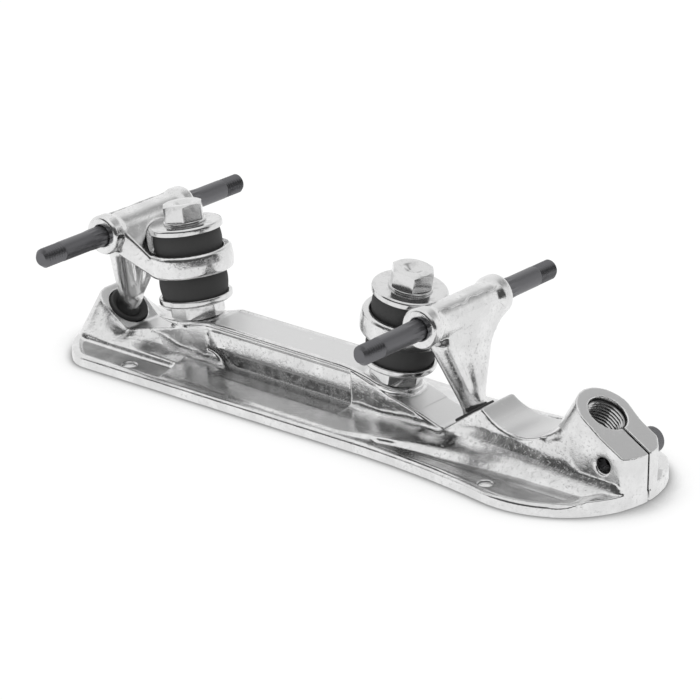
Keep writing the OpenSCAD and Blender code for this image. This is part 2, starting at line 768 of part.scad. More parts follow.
// Axle bar with a splined seat in the middle, plain wheel seats, relieved threads and chamfered ends
module axle() {
    half = axle_len / 2;
    thread_r = axle_r - axle_thread_d;
    plain = half - axle_thread_len;
    seat = hanger_w / 2 + axle_seat_out;
    edge = 1;
    profile = [
        [axle_seat_r, seat], [axle_r, seat + axle_seat_d], [axle_r, plain - axle_thread_d],
        [thread_r, plain], [thread_r, half - edge], [thread_r - edge, half], [0, half]];
    color(DARK_STEEL) translate([0, 0, axle_z]) rotate([90, 0, 0]) rotate_extrude() polygon(concat(
        [for (i = [len(profile) - 1:-1:0]) [profile[i][0], -profile[i][1]]],
        profile));
}

// Hexagon prism whose corners are turned off at a chosen end or at both
module hex_prism(flats, h, turn, low_edge, high_edge) {
    corner_r = flats / 2 / cos(30);
    turned = corner_r - flats / 2;
    out = corner_r + turned;
    intersection() {
        rotate([0, 0, turn]) cylinder(r = corner_r, h = h, $fn = 6);
        rotate_extrude() polygon([
            [0, 0], [low_edge ? flats / 2 : out, 0], [out, low_edge ? turned : 0],
            [out, high_edge ? h - turned : h], [high_edge ? flats / 2 : out, h], [0, h]]);
    }
}

// Hex-headed kingpin with a dimpled top
module kingpin() {
    tip = 1.4;
    dimple_r = head_flats / 4;
    dimple_h = dimple_r / 2;
    shank = kingpin_depth - tip + head_at + head_h / 2;
    color(ZINC) on_kingpin() difference() {
        union() {
            translate([0, 0, tip - kingpin_depth]) cylinder(r = kingpin_r, h = shank);
            translate([0, 0, -kingpin_depth]) cylinder(r1 = kingpin_r - tip / 2, r2 = kingpin_r, h = tip);
            translate([0, 0, head_at]) hex_prism(head_flats, head_h, head_turn, false, true);
        }
        translate([0, 0, head_at + head_h - dimple_h]) cylinder(r1 = 0, r2 = dimple_r, h = dimple_h + lap);
    }
}

module head_washer() {
    edge = washer_t / 4;
    color(ZINC) on_kingpin(washer_at) rotate_extrude() polygon([
        [kingpin_r + turn_gap, 0], [washer_r, 0], [washer_r, washer_t - edge],
        [washer_r - edge, washer_t], [kingpin_r + turn_gap, washer_t]]);
}

module lock_nut() {
    color(ZINC) on_kingpin() difference() {
        hex_prism(nut_flats, nut_h, nut_turn, true, true);
        translate([0, 0, -past]) cylinder(r = kingpin_r + turn_gap, h = nut_h + 2 * past);
    }
}

// Cupped washer with a rolled rim, its hollow side up
module retainer() {
    edge = retainer_t / 3;
    inner = retainer_r - retainer_t;
    rotate_extrude() polygon([
        [kingpin_r + turn_gap, 0], [retainer_r - edge, 0], [retainer_r, edge],
        [retainer_r, retainer_h - edge], [retainer_r - edge, retainer_h], [inner + edge / 2, retainer_h],
        [inner, retainer_h - edge], [inner, retainer_t], [kingpin_r + turn_gap, retainer_t]]);
}

module lower_retainer() {
    color(ZINC) on_kingpin(lower_retainer_at) retainer();
}

module upper_retainer() {
    color(ZINC) on_kingpin(washer_at) mirror([0, 0, 1]) retainer();
}

// Rubber cushion with swelling sides
module cushion(h) {
    bore_r = kingpin_r + 4 * soft_gap;
    rotate_extrude() polygon(concat(
        [[bore_r, 0]],
        [for (i = [0:8]) [cushion_r + cushion_swell * sin(180 * i / 8), h * i / 8]],
        [[bore_r, h]]));
}

module lower_cushion() {
    color(RUBBER) on_kingpin(lower_cushion_at) cushion(lower_cushion_h);
}

module upper_cushion() {
    color(RUBBER) on_kingpin(upper_cushion_at) cushion(upper_cushion_h);
}

// Rubber cup with a round socket for the ball and a flared mouth for the leg
module pivot_cup() {
    wall = 1;
    seam = 0.05;
    socket_r = ball_r + ball_gap;
    color(RUBBER) on_pivot_face() difference() {
        intersection() {
            pivot_pocket(soft_gap);
            translate([0, 0, -cup_depth]) cylinder(r = cup_r, h = cup_depth + cup_proud);
        }
        translate([0, 0, -ball_depth]) {
            sphere(socket_r);
            cylinder(r1 = socket_r - seam, r2 = cup_r - wall, h = ball_depth + cup_proud + lap);
        }
    }
}

baseplate();
toe_clamp_bolt();
at_front() hanger();  // front_hanger
at_front() axle();  // front_axle
at_front() kingpin();  // front_kingpin
at_front() head_washer();  // front_head_washer
at_front() lock_nut();  // front_lock_nut
at_front() upper_cushion();  // front_upper_cushion
at_front() lower_cushion();  // front_lower_cushion
at_front() upper_retainer();  // front_upper_retainer
at_front() lower_retainer();  // front_lower_retainer
at_front() pivot_cup();  // front_pivot_cup
at_rear() hanger();  // rear_hanger
at_rear() axle();  // rear_axle
at_rear() kingpin();  // rear_kingpin
at_rear() head_washer();  // rear_head_washer
at_rear() lock_nut();  // rear_lock_nut
at_rear() upper_cushion();  // rear_upper_cushion
at_rear() lower_cushion();  // rear_lower_cushion
at_rear() upper_retainer();  // rear_upper_retainer
at_rear() lower_retainer();  // rear_lower_retainer
at_rear() pivot_cup();  // rear_pivot_cup
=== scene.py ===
"""Quad roller-skate plate: cast skins, turned hardware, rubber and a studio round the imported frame.

Lengths are in metres, as in the frame. A name that ends in _mm holds millimetres.
"""

import functools
import json
import math

import bpy
import numpy as np
import openvdb
from bpy.props import FloatProperty, FloatVectorProperty, IntProperty, PointerProperty
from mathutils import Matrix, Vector


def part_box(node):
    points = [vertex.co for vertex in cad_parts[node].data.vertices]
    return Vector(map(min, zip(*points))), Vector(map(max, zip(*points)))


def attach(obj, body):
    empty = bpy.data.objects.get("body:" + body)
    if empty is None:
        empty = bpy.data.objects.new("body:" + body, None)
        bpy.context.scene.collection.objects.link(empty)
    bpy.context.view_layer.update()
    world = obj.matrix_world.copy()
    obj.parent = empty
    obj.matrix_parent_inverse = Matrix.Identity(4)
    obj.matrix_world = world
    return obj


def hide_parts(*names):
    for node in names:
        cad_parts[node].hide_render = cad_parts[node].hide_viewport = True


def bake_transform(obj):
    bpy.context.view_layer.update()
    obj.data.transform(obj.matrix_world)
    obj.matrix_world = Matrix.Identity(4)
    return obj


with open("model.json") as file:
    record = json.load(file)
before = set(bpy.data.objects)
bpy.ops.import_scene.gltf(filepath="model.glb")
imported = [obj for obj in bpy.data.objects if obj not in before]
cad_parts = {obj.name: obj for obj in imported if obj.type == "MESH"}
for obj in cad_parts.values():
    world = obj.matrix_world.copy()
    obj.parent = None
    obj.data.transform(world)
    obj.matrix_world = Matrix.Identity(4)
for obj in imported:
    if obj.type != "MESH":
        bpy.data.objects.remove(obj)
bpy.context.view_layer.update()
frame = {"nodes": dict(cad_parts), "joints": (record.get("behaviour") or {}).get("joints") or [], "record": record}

bl_info = {
    "name": "Quad skate plate",
    "version": (1, 0, 0),
    "blender": (4, 5, 0),
    "location": "View3D > Sidebar > Skate plate",
    "description": "Builds the finished surfaces of a quad roller-skate plate",
    "category": "Object",
}

MM = 0.001
NODES = frame["nodes"]
JOINTS = {joint["name"]: joint for joint in frame["joints"]}
MOUNTS = {mount["name"]: mount for mount in frame["record"]["mounts"]}
# Each end of the plate, with the way its truck faces along X
ENDS = {"front": 1.0, "rear": -1.0}
# How far the photograph's view is turned from looking along +Y
VIEW_TURN = math.radians(39.248)
# How far the toe clamp's left lug reaches from the middle
LUG_FACE = 10.7 * MM
# How far the walls under the kingpins reach from the middle
WALL_FACE = 10.95 * MM
# Corners nearer to each other than this are one
SAME_POINT = 0.0005 * MM
# How far a casting's distance is sampled, in hollow radii
BAND_REACH = 3.2
# Voxels left free round a casting
MARGIN = 8


# Measuring the frame


def read_rows(items, key, kind=np.float32):
    """Threes of numbers that a mesh's items hold under a key, as rows."""
    values = np.empty(len(items) * 3, kind)
    items.foreach_get(key, values)
    return values.reshape(-1, 3)


def merged_mesh(node):
    """Points and triangles of a CAD node with its doubled corners joined."""
    mesh = NODES[node].data
    mesh.calc_loop_triangles()
    corners = read_rows(mesh.vertices, "co")
    triangles = read_rows(mesh.loop_triangles, "vertices", np.int32)
    keys = np.round(corners / SAME_POINT).astype(np.int64)
    _, first, same = np.unique(keys, axis=0, return_index=True, return_inverse=True)
    return corners[first], same.reshape(-1)[triangles]


def round_size(node, axis):
    """Axis, ends on it, length and radii of a round node that is centred on the XZ plane."""
    points, _ = merged_mesh(node)
    axis = np.array(axis, float)
    side = np.cross((0.0, 1.0, 0.0), axis)
    across = points @ side
    centre = side * (across.min() + across.max()) / 2
    along = points @ axis
    radii = np.linalg.norm(points - centre - np.outer(along, axis), axis=1)
    return {
        "axis": axis,
        "low": centre + axis * along.min(),
        "high": centre + axis * along.max(),
        "length": along.max() - along.min(),
        "inner": radii.min(),
        "outer": radii.max(),
    }


def kingpin_axis(end):
    """Foot and unit direction of a kingpin's axis."""
    joint = JOINTS[f"{end}_kingpin_turn"]
    return np.array(joint["pos_m"]), np.array(joint["axis"])


def pivot_axis(end):
    """Unit direction of a pivot cup's axis, out of its mouth."""
    lean = math.radians(sizes().pivot_face_deg)
    return np.array((-ENDS[end] * math.sin(lean), 0.0, math.cos(lean)))


# Surfaces worked out as whole arrays


def put_mesh(name, points, faces, sharp_deg=None):
    """Object at the origin from points and lists of faces, smooth but for edges sharper than an angle."""
    mesh = bpy.data.meshes.new(name)
    mesh.from_pydata(points.tolist(), [], faces)
    mesh.polygons.foreach_set("use_smooth", np.ones(len(mesh.polygons), bool))
    if sharp_deg:
        mesh.set_sharp_from_angle(angle=math.radians(sharp_deg))
    piece = bpy.data.objects.new(name, mesh)
    bpy.context.scene.collection.objects.link(piece)
    return piece


def spun(name, radius, height, turn, base, axis, facing=1.0, closed=False, sharp_deg=35):
    """Surface of revolution whose profile may change round the axis.

    A point is base + radius (cos turn ex + sin turn ey) + height axis, with radius and height given
    for each row of the profile and each turn. Rows run outward from the low end to the high end.
    A first or last row of radius 0 is one pole, and a closed profile joins its last row to its first.
    """
    radius, height, turn = np.broadcast_arrays(radius, height, turn)
    axis = np.array(axis, float)
    across = np.array((0.0, facing, 0.0))
    ahead = np.cross(across, axis)
    points = (
        np.array(base, float)
        + radius[..., None] * (np.cos(turn)[..., None] * ahead + np.sin(turn)[..., None] * across)
        + height[..., None] * axis
    )
    rows, columns = radius.shape
    index = np.arange(rows * columns).reshape(rows, columns)
    low_pole = not closed and np.allclose(radius[0], 0)
    high_pole = not closed and np.allclose(radius[-1], 0)
    body = index[1 if low_pole else 0 : rows - 1 if high_pole else rows]
    upper = np.roll(body, -1, axis=0) if closed else body[1:]
    lower = body if closed else body[:-1]
    quads = np.stack(
        (lower, np.roll(lower, -1, axis=1), np.roll(upper, -1, axis=1), upper), axis=-1
    ).reshape(-1, 4)
    faces = quads.tolist()
    first, last = body[0], body[-1]
    if low_pole:
        fan = np.stack((np.full(columns, index[0, 0]), np.roll(first, -1), first), axis=-1)
        faces += fan.tolist()
    if high_pole:
        fan = np.stack((np.full(columns, index[-1, 0]), last, np.roll(last, -1)), axis=-1)
        faces += fan.tolist()
    used = np.unique(np.concatenate(faces))
    fresh = np.zeros(rows * columns, int)
    fresh[used] = np.arange(len(used))
    faces = [fresh[face].tolist() for face in faces]
    return put_mesh(name, points.reshape(-1, 3)[used], faces, sharp_deg)


def turns(count):
    """Angles once round, as one row."""
    return np.linspace(0, 2 * np.pi, count, endpoint=False)[None, :]


def ringed(name, rows, columns, size, facing, closed=True, sharp_deg=35):
    """Surface of revolution from [radius, height] rows, at the low end of a measured round node."""
    radius, height = rows[:, :1], rows[:, 1:]
    return spun(name, radius, height, turns(columns), size["low"], size["axis"], facing, closed, sharp_deg)


def stacked(rows, turn):
    """Radius and height for each turn, from rows of which any may change round the axis."""
    return [np.concatenate([np.broadcast_to(row[part], turn.shape) for row in rows]) for part in (0, 1)]


def arc(centre, radius, start_deg, end_deg, steps=8):
    """Points of an arc as [radius, height] rows."""
    angle = np.radians(np.linspace(start_deg, end_deg, steps))
    return np.stack((centre[0] + radius * np.cos(angle), centre[1] + radius * np.sin(angle)), axis=1)


def hexagon(flats, turn, blunt=0.985):
    """Distance from the middle of a hexagon to its edge, by angle from a corner, with blunt corners."""
    edge = flats / 2 / np.cos(np.mod(turn, np.pi / 3) - np.pi / 6)
    return np.minimum(edge, blunt * flats / 2 / math.cos(math.pi / 6))


def blurred(field, sigma):
    """Field averaged with a bell curve of sigma voxels along each axis in turn."""
    reach = int(math.ceil(3 * sigma))
    taps = np.exp(-0.5 * (np.arange(-reach, reach + 1) / sigma) ** 2)
    taps = (taps / taps.sum()).astype(np.float32)
    for axis in range(3):
        ends = [(reach, reach) if axis == other else (0, 0) for other in range(3)]
        wide = np.moveaxis(np.pad(field, ends, mode="edge"), axis, 0)
        span = field.shape[axis]
        total = np.zeros((span, *wide.shape[1:]), np.float32)
        for step, tap in enumerate(taps):
            total += tap * wide[step : step + span]
        field = np.ascontiguousarray(np.moveaxis(total, 0, axis))
    return field


def sampled(field, places):
    """Field at places given in voxels, by the nearest voxel."""
    index = np.clip(np.round(places).astype(int), 0, np.array(field.shape) - 1)
    return field[index[:, 0], index[:, 1], index[:, 2]]


def cast_skin(name, node, crisp, soft, formed):
    """Casting with rounded edges and filled corners, made from a CAD node.

    The node's signed distance is sampled on a grid and averaged with bell curves. A narrow average
    keeps the form, a middle one takes its edges off and a wide one fills its corners. crisp(x, y, z)
    holds the last two off where the form stays sharp. soft(x, y, z) gives two shares: where a still
    wider average fills corners, and where it takes over, so that faces flow into each other.
    formed(distance, x, y, z) may add and cut forms. The zero surface of the result is meshed. How far
    the widest average falls below zero on it tells how deep a point lies in a hollow, and is kept as
    the attribute recess.
    """
    size = sizes()
    voxel = size.skin_voxel
    points, triangles = merged_mesh(node)
    band = BAND_REACH * size.hollow_radius / voxel
    level = openvdb.FloatGrid.createLevelSetFromPolygons(
        (points / voxel).astype(np.float32), triangles=triangles.astype(np.uint32), halfWidth=band
    )
    low = np.floor(points.min(0) / voxel).astype(int) - MARGIN
    span = np.ceil(points.max(0) / voxel).astype(int) + MARGIN + 1 - low
    origin = tuple(low.tolist())
    field = np.empty(span, np.float32)
    level.copyToArray(field, ijk=origin)
    axes = [(np.arange(count) + start) * voxel for count, start in zip(span, low)]
    x, y, z = np.meshgrid(*axes, indexing="ij", sparse=True)
    loose = (1 - crisp(x, y, z)).astype(np.float32)
    narrow = blurred(field, size.edge_radius / voxel)
    middle = blurred(field, size.round_radius / voxel)
    wide = blurred(field, size.cast_radius / voxel)
    softer = blurred(wide, size.soft_radius / voxel)
    hollow = blurred(softer, size.hollow_radius / voxel)
    ease = 0.5 * size.edge_radius / voxel
    mixed = narrow + loose * (soft_excess(middle - narrow, ease) - soft_excess(narrow - wide, ease))
    fill, flow = [share.astype(np.float32) for share in soft(x, y, z)]
    mixed -= fill * soft_excess(mixed - softer, ease)
    mixed += flow * (softer - mixed)
    mixed = (formed(mixed * voxel, x, y, z) / voxel).astype(np.float32)
    skin = openvdb.FloatGrid(band)
    skin.copyFromArray(mixed, ijk=origin)
    skin.gridClass = openvdb.GridClass.LEVEL_SET
    corners, thirds, fours = skin.convertToPolygons(isovalue=0.0, adaptivity=0.0)
    faces = fours[:, ::-1].tolist() + thirds[:, ::-1].tolist()
    piece = put_mesh(name, corners * voxel, faces)
    thinned(piece, size.skin_triangles / (2 * len(fours) + len(thirds)))
    places = mesh_points(piece) / voxel - low
    depth = np.clip(-sampled(hollow, places) * voxel / size.hollow_radius, 0, 1)
    keep_attribute(piece, "recess", depth)
    return piece


def joined(first, second, ease):
    """Union of two distances, with a fillet of about ease where they meet."""
    near = np.clip(1 - np.abs(first - second) / ease, 0, 1)
    return np.minimum(first, second) - 0.25 * ease * near * near


def cut_from(first, second, ease):
    """Distance to the first form less the second one, with edges and corners rounded by about ease."""
    return -joined(-first, second, ease)


def overlap(*distances):
    """Distance to what several forms share."""
    return functools.reduce(np.maximum, distances)


def block_distance(x, y, z, low, high):
    """Distance to a block between two corners, right inside it and near its faces."""
    return overlap(*[np.maximum(low[i] - value, value - high[i]) for i, value in enumerate((x, y, z))])


def between(value, start, end, fade):
    """1 from start to end, with a smooth fall to 0 over a fade at each side."""
    return smooth_step(value, start - fade, start) * (1 - smooth_step(value, end, end + fade))


def swept(name, path, width, height, sides=14):
    """Oval bar along a path: point = path + width cos(a) side + height sin(a) lift, for each a once round.

    side is level and square to the path, and lift is square to both. Both ends are closed by one face.
    """
    ahead = np.gradient(path, axis=0)
    ahead /= np.linalg.norm(ahead, axis=1, keepdims=True)
    side = np.cross((0.0, 0.0, 1.0), ahead)
    side /= np.linalg.norm(side, axis=1, keepdims=True)
    lift = np.cross(ahead, side)
    angle = turns(sides)[0][None, :, None]
    width, height = [np.broadcast_to(value, len(path))[:, None, None] for value in (width, height)]
    points = path[:, None] + width * np.cos(angle) * side[:, None] + height * np.sin(angle) * lift[:, None]
    index = np.arange(len(path) * sides).reshape(len(path), sides)
    after = np.roll(index, -1, axis=1)
    quads = np.stack((index[:-1], after[:-1], after[1:], index[1:]), axis=-1).reshape(-1, 4)
    faces = quads.tolist() + [index[0, ::-1].tolist(), index[-1].tolist()]
    return put_mesh(name, points.reshape(-1, 3), faces)


def soft_excess(value, width):
    """The part of a value above zero, with a soft start of a width."""
    return 0.5 * (value + np.sqrt(value * value + width * width)) - 0.5 * width


def mesh_points(piece):
    """Corners of a piece's mesh as rows."""
    return read_rows(piece.data.vertices, "co")


def mesh_normals(piece):
    """Normals of a piece's corners as rows."""
    return read_rows(piece.data.vertex_normals, "vector")


def keep_attribute(piece, name, values):
    """Number for each corner, or one for all, which the piece's material reads by name."""
    layer = piece.data.attributes.new(name, "FLOAT", "POINT")
    values = np.broadcast_to(values, len(piece.data.vertices))
    layer.data.foreach_set("value", np.ascontiguousarray(values, np.float32))


def thinned(piece, ratio):
    """Mesh of the piece with only a share of its triangles, if the share is under 1."""
    if ratio >= 1:
        return
    fewer = piece.modifiers.new("fewer", "DECIMATE")
    fewer.ratio = ratio
    graph = bpy.context.evaluated_depsgraph_get()
    old = piece.data
    piece.data = bpy.data.meshes.new_from_object(piece.evaluated_get(graph))
    piece.modifiers.clear()
    bpy.data.meshes.remove(old)
    piece.data.polygons.foreach_set("use_smooth", np.ones(len(piece.data.polygons), bool))


def smooth_step(value, start, end):
    """0 before start, 1 after end and a smooth rise between."""
    share = np.clip((value - start) / (end - start), 0, 1)
    return share * share * (3 - 2 * share)


# Materials


class Wire:
    """Shader socket with arithmetic: an expression adds its Math nodes to the socket's tree."""

    def __init__(self, tree, socket=None):
        self.tree = tree
        self.socket = socket

    def make(self, kind, settings=None, inputs=None, out=0):
        """New node of a kind, with its settings set first and then its inputs, as one output."""
        node = self.tree.nodes.new(kind)
        for key, value in (settings or {}).items():
            setattr(node, key, value)
        for key, value in (inputs or {}).items():
            if isinstance(value, Wire):
                self.tree.links.new(value.socket, node.inputs[key])
            else:
                node.inputs[key].default_value = value
        return Wire(self.tree, node.outputs[out]) if node.outputs else None

    def close(self, kind, surface):
        """Output node of a kind that shows a surface."""
        self.make(kind, None, {"Surface": surface})

    def math(self, operation, *values):
        """Math node on values, of which any may be a wire."""
        return self.make("ShaderNodeMath", {"operation": operation}, dict(enumerate(values)))

    def __add__(self, other):
        return self.math("ADD", self, other)

    __radd__ = __add__

    def __sub__(self, other):
        return self.math("SUBTRACT", self, other)

    def __rsub__(self, other):
        return self.math("SUBTRACT", other, self)

    def __mul__(self, other):
        return self.math("MULTIPLY", self, other)

    __rmul__ = __mul__

    def noise(self, scale, detail=2.0, roughness=0.5):
        """Noise of about one bump in 1 / scale metres, from 0 to 1, at the coordinates on this wire."""
        values = {"Vector": self, "Scale": scale, "Detail": detail, "Roughness": roughness}
        return self.make("ShaderNodeTexNoise", None, values)

    def above(self, start, end):
        """0 below start, 1 above end and a smooth rise between."""
        values = {"Value": self, "From Min": start, "From Max": end, "To Min": 0.0, "To Max": 1.0}
        return self.make("ShaderNodeMapRange", {"interpolation_type": "SMOOTHSTEP"}, values)

    def stretched(self, scale):
        """Coordinates on this wire, scaled along each axis."""
        return self.make("ShaderNodeMapping", None, {"Vector": self, "Scale": scale})

    def mixed(self, low, high):
        """Colour from low to high by the value on this wire."""
        values = {"Factor": self, 6: low, 7: high}
        return self.make("ShaderNodeMix", {"data_type": "RGBA"}, values, out=2)


def grey(tone):
    """Neutral colour of a tone."""
    return (tone, tone, tone, 1.0)


def shade(finish, share=1.0):
    """Neutral colour of a finish's tone, or of a share of it."""
    return grey(getattr(finishes(), f"{finish}_tone") * share)


def new_material(name):
    """Empty material, its tree as a wire and its Object coordinates."""
    material = bpy.data.materials.new(name)
    material.use_nodes = True
    material.node_tree.nodes.clear()
    tree = Wire(material.node_tree)
    return material, tree, tree.make("ShaderNodeTexCoord", out="Object")


def made_once(build):
    """Material that a function builds under its own name when it is first asked for."""

    @functools.wraps(build)
    def find():
        material = bpy.data.materials.get(build.__name__)
        if material is None:
            material, tree, place = new_material(build.__name__)
            build(tree, place)
        return material

    return find


def finish_material(tree, inputs, height, distance):
    """Principled surface with a bump of a height that is given in shares of a distance."""
    bump = tree.make("ShaderNodeBump", None, {"Height": height, "Distance": distance})
    shader = tree.make("ShaderNodeBsdfPrincipled", None, {**inputs, "Normal": bump})
    tree.close("ShaderNodeOutputMaterial", shader)


def attribute(tree, name):
    """Value that a piece keeps for each corner."""
    return tree.make("ShaderNodeAttribute", {"attribute_name": name}, out="Fac")


@made_once
def tumbled_casting(tree, place):
    """Bright tumbled casting: wavy and finely pitted, grainy patches in hollows, satin where machined. Hollows are
    darker, partly from their as-cast finish and partly from painted shade, and the tray floors are dark with
    painted shade.
    """
    machined = attribute(tree, "machined")
    cast = 1.0 - machined
    wave = place.noise(170.0, 1.0)
    ripple = place.noise(430.0, 2.0)
    grain = place.noise(1400.0, 3.0, 0.6)
    scratch = place.stretched((0.15, 1.0, 1.0)).noise(1700.0, 2.0)
    patch = place.noise(150.0, 3.0).above(0.44, 0.60)
    blotch = place.noise(90.0, 4.0, 0.6).above(0.35, 0.7)
    ding = place.noise(330.0, 1.0).above(0.73, 0.76)
    pits = place.noise(760.0, 3.0, 0.65).above(0.56, 0.68) * cast
    # deep marks how far a point lies in a hollow. Coarse grain gathers there, and the colour goes towards the
    # hollow tone: partly the hollows' own as-cast finish, partly painted shade.
    deep = attribute(tree, "recess").above(0.02, 0.20) * cast
    # tray marks the tray floors. Their dark colour is painted shade, and their higher roughness is their own
    # unpolished finish.
    tray = attribute(tree, "tray")
    coarse = deep * patch
    height = (wave * 0.7 + ripple * 0.3) * cast + grain * (0.22 * cast + 0.03 + coarse * 0.5) - pits * 0.22
    height = height + scratch * machined * 0.07
    bright = (blotch - pits * 1.1).mixed(shade("cast", 0.94), shade("cast", 1.1))
    satin = (ding + scratch * 0.5).mixed(shade("machined"), shade("cast"))
    # Painted shade: the dark colour of the tray floors.
    tray_shade_colour = blotch.mixed(shade("tray", 0.9), shade("tray", 1.5))
    # Painted shade, together with the hollows' own as-cast finish: the colour darkens to the hollow tone in
    # hollows.
    colour = deep.mixed(machined.mixed(bright, satin), shade("hollow"))
    roughness = 0.13 + grain * 0.08 + machined * 0.15 + coarse * 0.10 + tray * 0.12
    inputs = {"Base Color": tray.mixed(colour, tray_shade_colour), "Metallic": 1.0, "Roughness": roughness}
    finish_material(tree, inputs, height, 0.12 * MM)


@made_once
def cut_thread(tree, place):
    """Freshly cut alloy: bright crests, and roots darkened with painted shade."""
    root = attribute(tree, "root")
    # Painted shade in the thread roots.
    colour = root.mixed(shade("machined"), shade("machined", 0.12))
    inputs = {"Base Color": colour, "Metallic": 1.0, "Roughness": 0.20 + root * 0.2}
    finish_material(tree, inputs, place.noise(1500.0), 0.02 * MM)


@made_once
def bright_zinc(tree, place):
    """Bright zinc plate: faint drawing lines, stains and dents."""
    lines = place.stretched((1.0, 1.0, 6.0)).noise(900.0, 3.0, 0.6)
    stain = place.noise(260.0, 3.0, 0.6).above(0.45, 0.75)
    colour = stain.mixed(shade("zinc"), shade("zinc", 0.82))
    inputs = {"Base Color": colour, "Metallic": 1.0, "Roughness": 0.11 + lines * 0.07 + stain * 0.08}
    finish_material(tree, inputs, lines * 0.3 + place.noise(260.0, 1.0), 0.01 * MM)


@made_once
def dark_steel(tree, place):
    """Dark oiled steel: mottled with random lighter scuffs, thread roots turned black with painted shade, and
    lighter where it stands out, partly wear and partly painted highlight.
    """
    root = attribute(tree, "root")
    proud = attribute(tree, "proud")
    mottle = place.noise(420.0, 4.0, 0.65)
    scuff = place.noise(800.0, 2.0).above(0.62, 0.70)
    # Lighter where the piece stands out: partly wear, partly painted highlight.
    light = mottle * 0.6 + scuff * 0.6 + proud
    plain = light.mixed(shade("steel", 0.6), shade("steel", 2.2))
    # Painted shade turns the thread roots black.
    colour = root.mixed(plain, shade("steel", 0.05))
    inputs = {"Base Color": colour, "Roughness": 0.34 + mottle * 0.2 + root * 0.3, "Specular IOR Level": 0.14}
    finish_material(tree, inputs, mottle, 0.05 * MM)


@made_once
def black_rubber(tree, place):
    """Black moulded rubber: matt, finely grained, with a grey bloom."""
    bloom = place.noise(160.0, 3.0, 0.6)
    grain = place.noise(2200.0, 2.0)
    colour = bloom.mixed(shade("rubber", 0.7), shade("rubber", 1.4))
    inputs = {"Base Color": colour, "Roughness": 0.46 + grain * 0.16}
    finish_material(tree, inputs, grain, 0.02 * MM)


# Settings


def length(name, description, size_mm):
    """Setting for a length, given in millimetres."""
    return FloatProperty(name=name, description=description, default=size_mm * MM, unit="LENGTH", precision=5)


def lengths(name, description, *sizes_mm):
    """Setting for several lengths or for a place, given in millimetres."""
    default = [size_mm * MM for size_mm in sizes_mm]
    return FloatVectorProperty(
        name=name, description=description, default=default, size=len(default), unit="LENGTH", precision=5)


def degrees(name, description, turn):
    """Setting for an angle, which is kept in degrees."""
    return FloatProperty(name=name, description=f"{description}, in degrees", default=turn)


def reflectance(name, description, share):
    """Setting for the share of light that a finish gives back."""
    return FloatProperty(
        name=name, description=f"Reflectance of {description}", default=share, subtype="FACTOR")


class SkatePlateSizes(bpy.types.PropertyGroup):
    """Sizes that the frame doesn't give."""

    skin_voxel: length("Skin voxel", "Spacing of the grid that rounds the castings", 0.40)
    edge_radius: length("Machined edge", "Spread of the rounding on machined edges", 0.22)
    round_radius: length("Cast edge", "Spread of the rounding on cast edges", 0.50)
    cast_radius: length("Cast corner", "Spread of the fillets in cast corners", 0.9)
    soft_radius: length("Flow", "Spread of the rounding where cast faces flow into each other", 1.7)
    hollow_radius: length("Hollow", "Spread that tells hollows from open faces", 2.2)
    skin_triangles: IntProperty(
        name="Skin triangles", description="Most triangles in one casting's skin", default=190000)
    pivot_face_deg: degrees("Pivot face", "Slope of the pivot faces", 36.0)
    head_turn_deg: degrees("Head turn", "Turn of the kingpin heads", 11.0)
    nut_turn_deg: degrees("Nut turn", "Turn of the lock nuts", 51.0)
    axle_pitch: length("Axle pitch", "Pitch of the axle threads", 1.35)
    strut_top: lengths(
        "Strut top", "Top of a hanger's strut: outward and sideways from the axle, and up", 1.8, 12.2, 43.0)
    strut_foot: lengths(
        "Strut foot", "Foot of a hanger's strut: outward and sideways from the axle, and up", 7.2, 2.4, 18.5)
    strut_radii: lengths("Strut radii", "Radius of a strut at its top and at its foot", 4.3, 3.2)
    ankle_top: lengths(
        "Ankle top", "Top of a hanger's ankle: outward and sideways from the axle, and up", 2.4, 0.0, 34.0)
    ankle_radii: lengths("Ankle radii", "Radius of a hanger's ankle at its top and at the nose", 2.6, 4.7)
    tube_radius: length("Tube radius", "Radius of a hanger's tube, where its mould seam lies", 6.9)
    seam_deg: degrees("Seam place", "Place of the mould seam, up from outward", 55.0)
    bead_width: length("Bead width", "Width of the bead along the deck's right edge", 2.5)
    toe_pitch: length("Toe thread pitch", "Pitch of the toe-stop thread", 1.35)


class SkatePlateFinishes(bpy.types.PropertyGroup):
    """Tones of the finishes, as linear reflectance, with painted shade in the hollow and tray tones."""

    cast_tone: reflectance("Casting", "the tumbled casting", 0.75)
    machined_tone: reflectance("Machined", "machined faces", 0.68)
    # Darker tone of the hollows: partly their as-cast finish, partly painted shade.
    hollow_tone: reflectance("Hollows", "the casting's hollows", 0.52)
    # Dark tone of the tray floors: painted shade.
    tray_tone: reflectance("Trays", "the trays' unpolished floors", 0.27)
    zinc_tone: reflectance("Zinc", "the zinc plate", 0.72)
    steel_tone: reflectance("Steel", "the dark steel", 0.017)
    rubber_tone: reflectance("Rubber", "the black rubber", 0.035)
    floor_colour: FloatVectorProperty(
        name="Floor", description="Colour of the studio floor", default=(0.97, 0.97, 0.97), subtype="COLOR")


def sizes():
    """Sizes kept on the scene."""
    return bpy.context.scene.skate_plate_sizes


def finishes():
    """Tones kept on the scene."""
    return bpy.context.scene.skate_plate_finishes


def dress(piece, material, slot, body, *nodes):
    """Gives a piece its material and body, and hides the CAD nodes that it stands for. The slot argument is not
    used.
    """
    piece.data.materials.clear()
    piece.data.materials.append(material)
    if body:
        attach(piece, body)
    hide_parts(*nodes)
    return piece


# Pieces


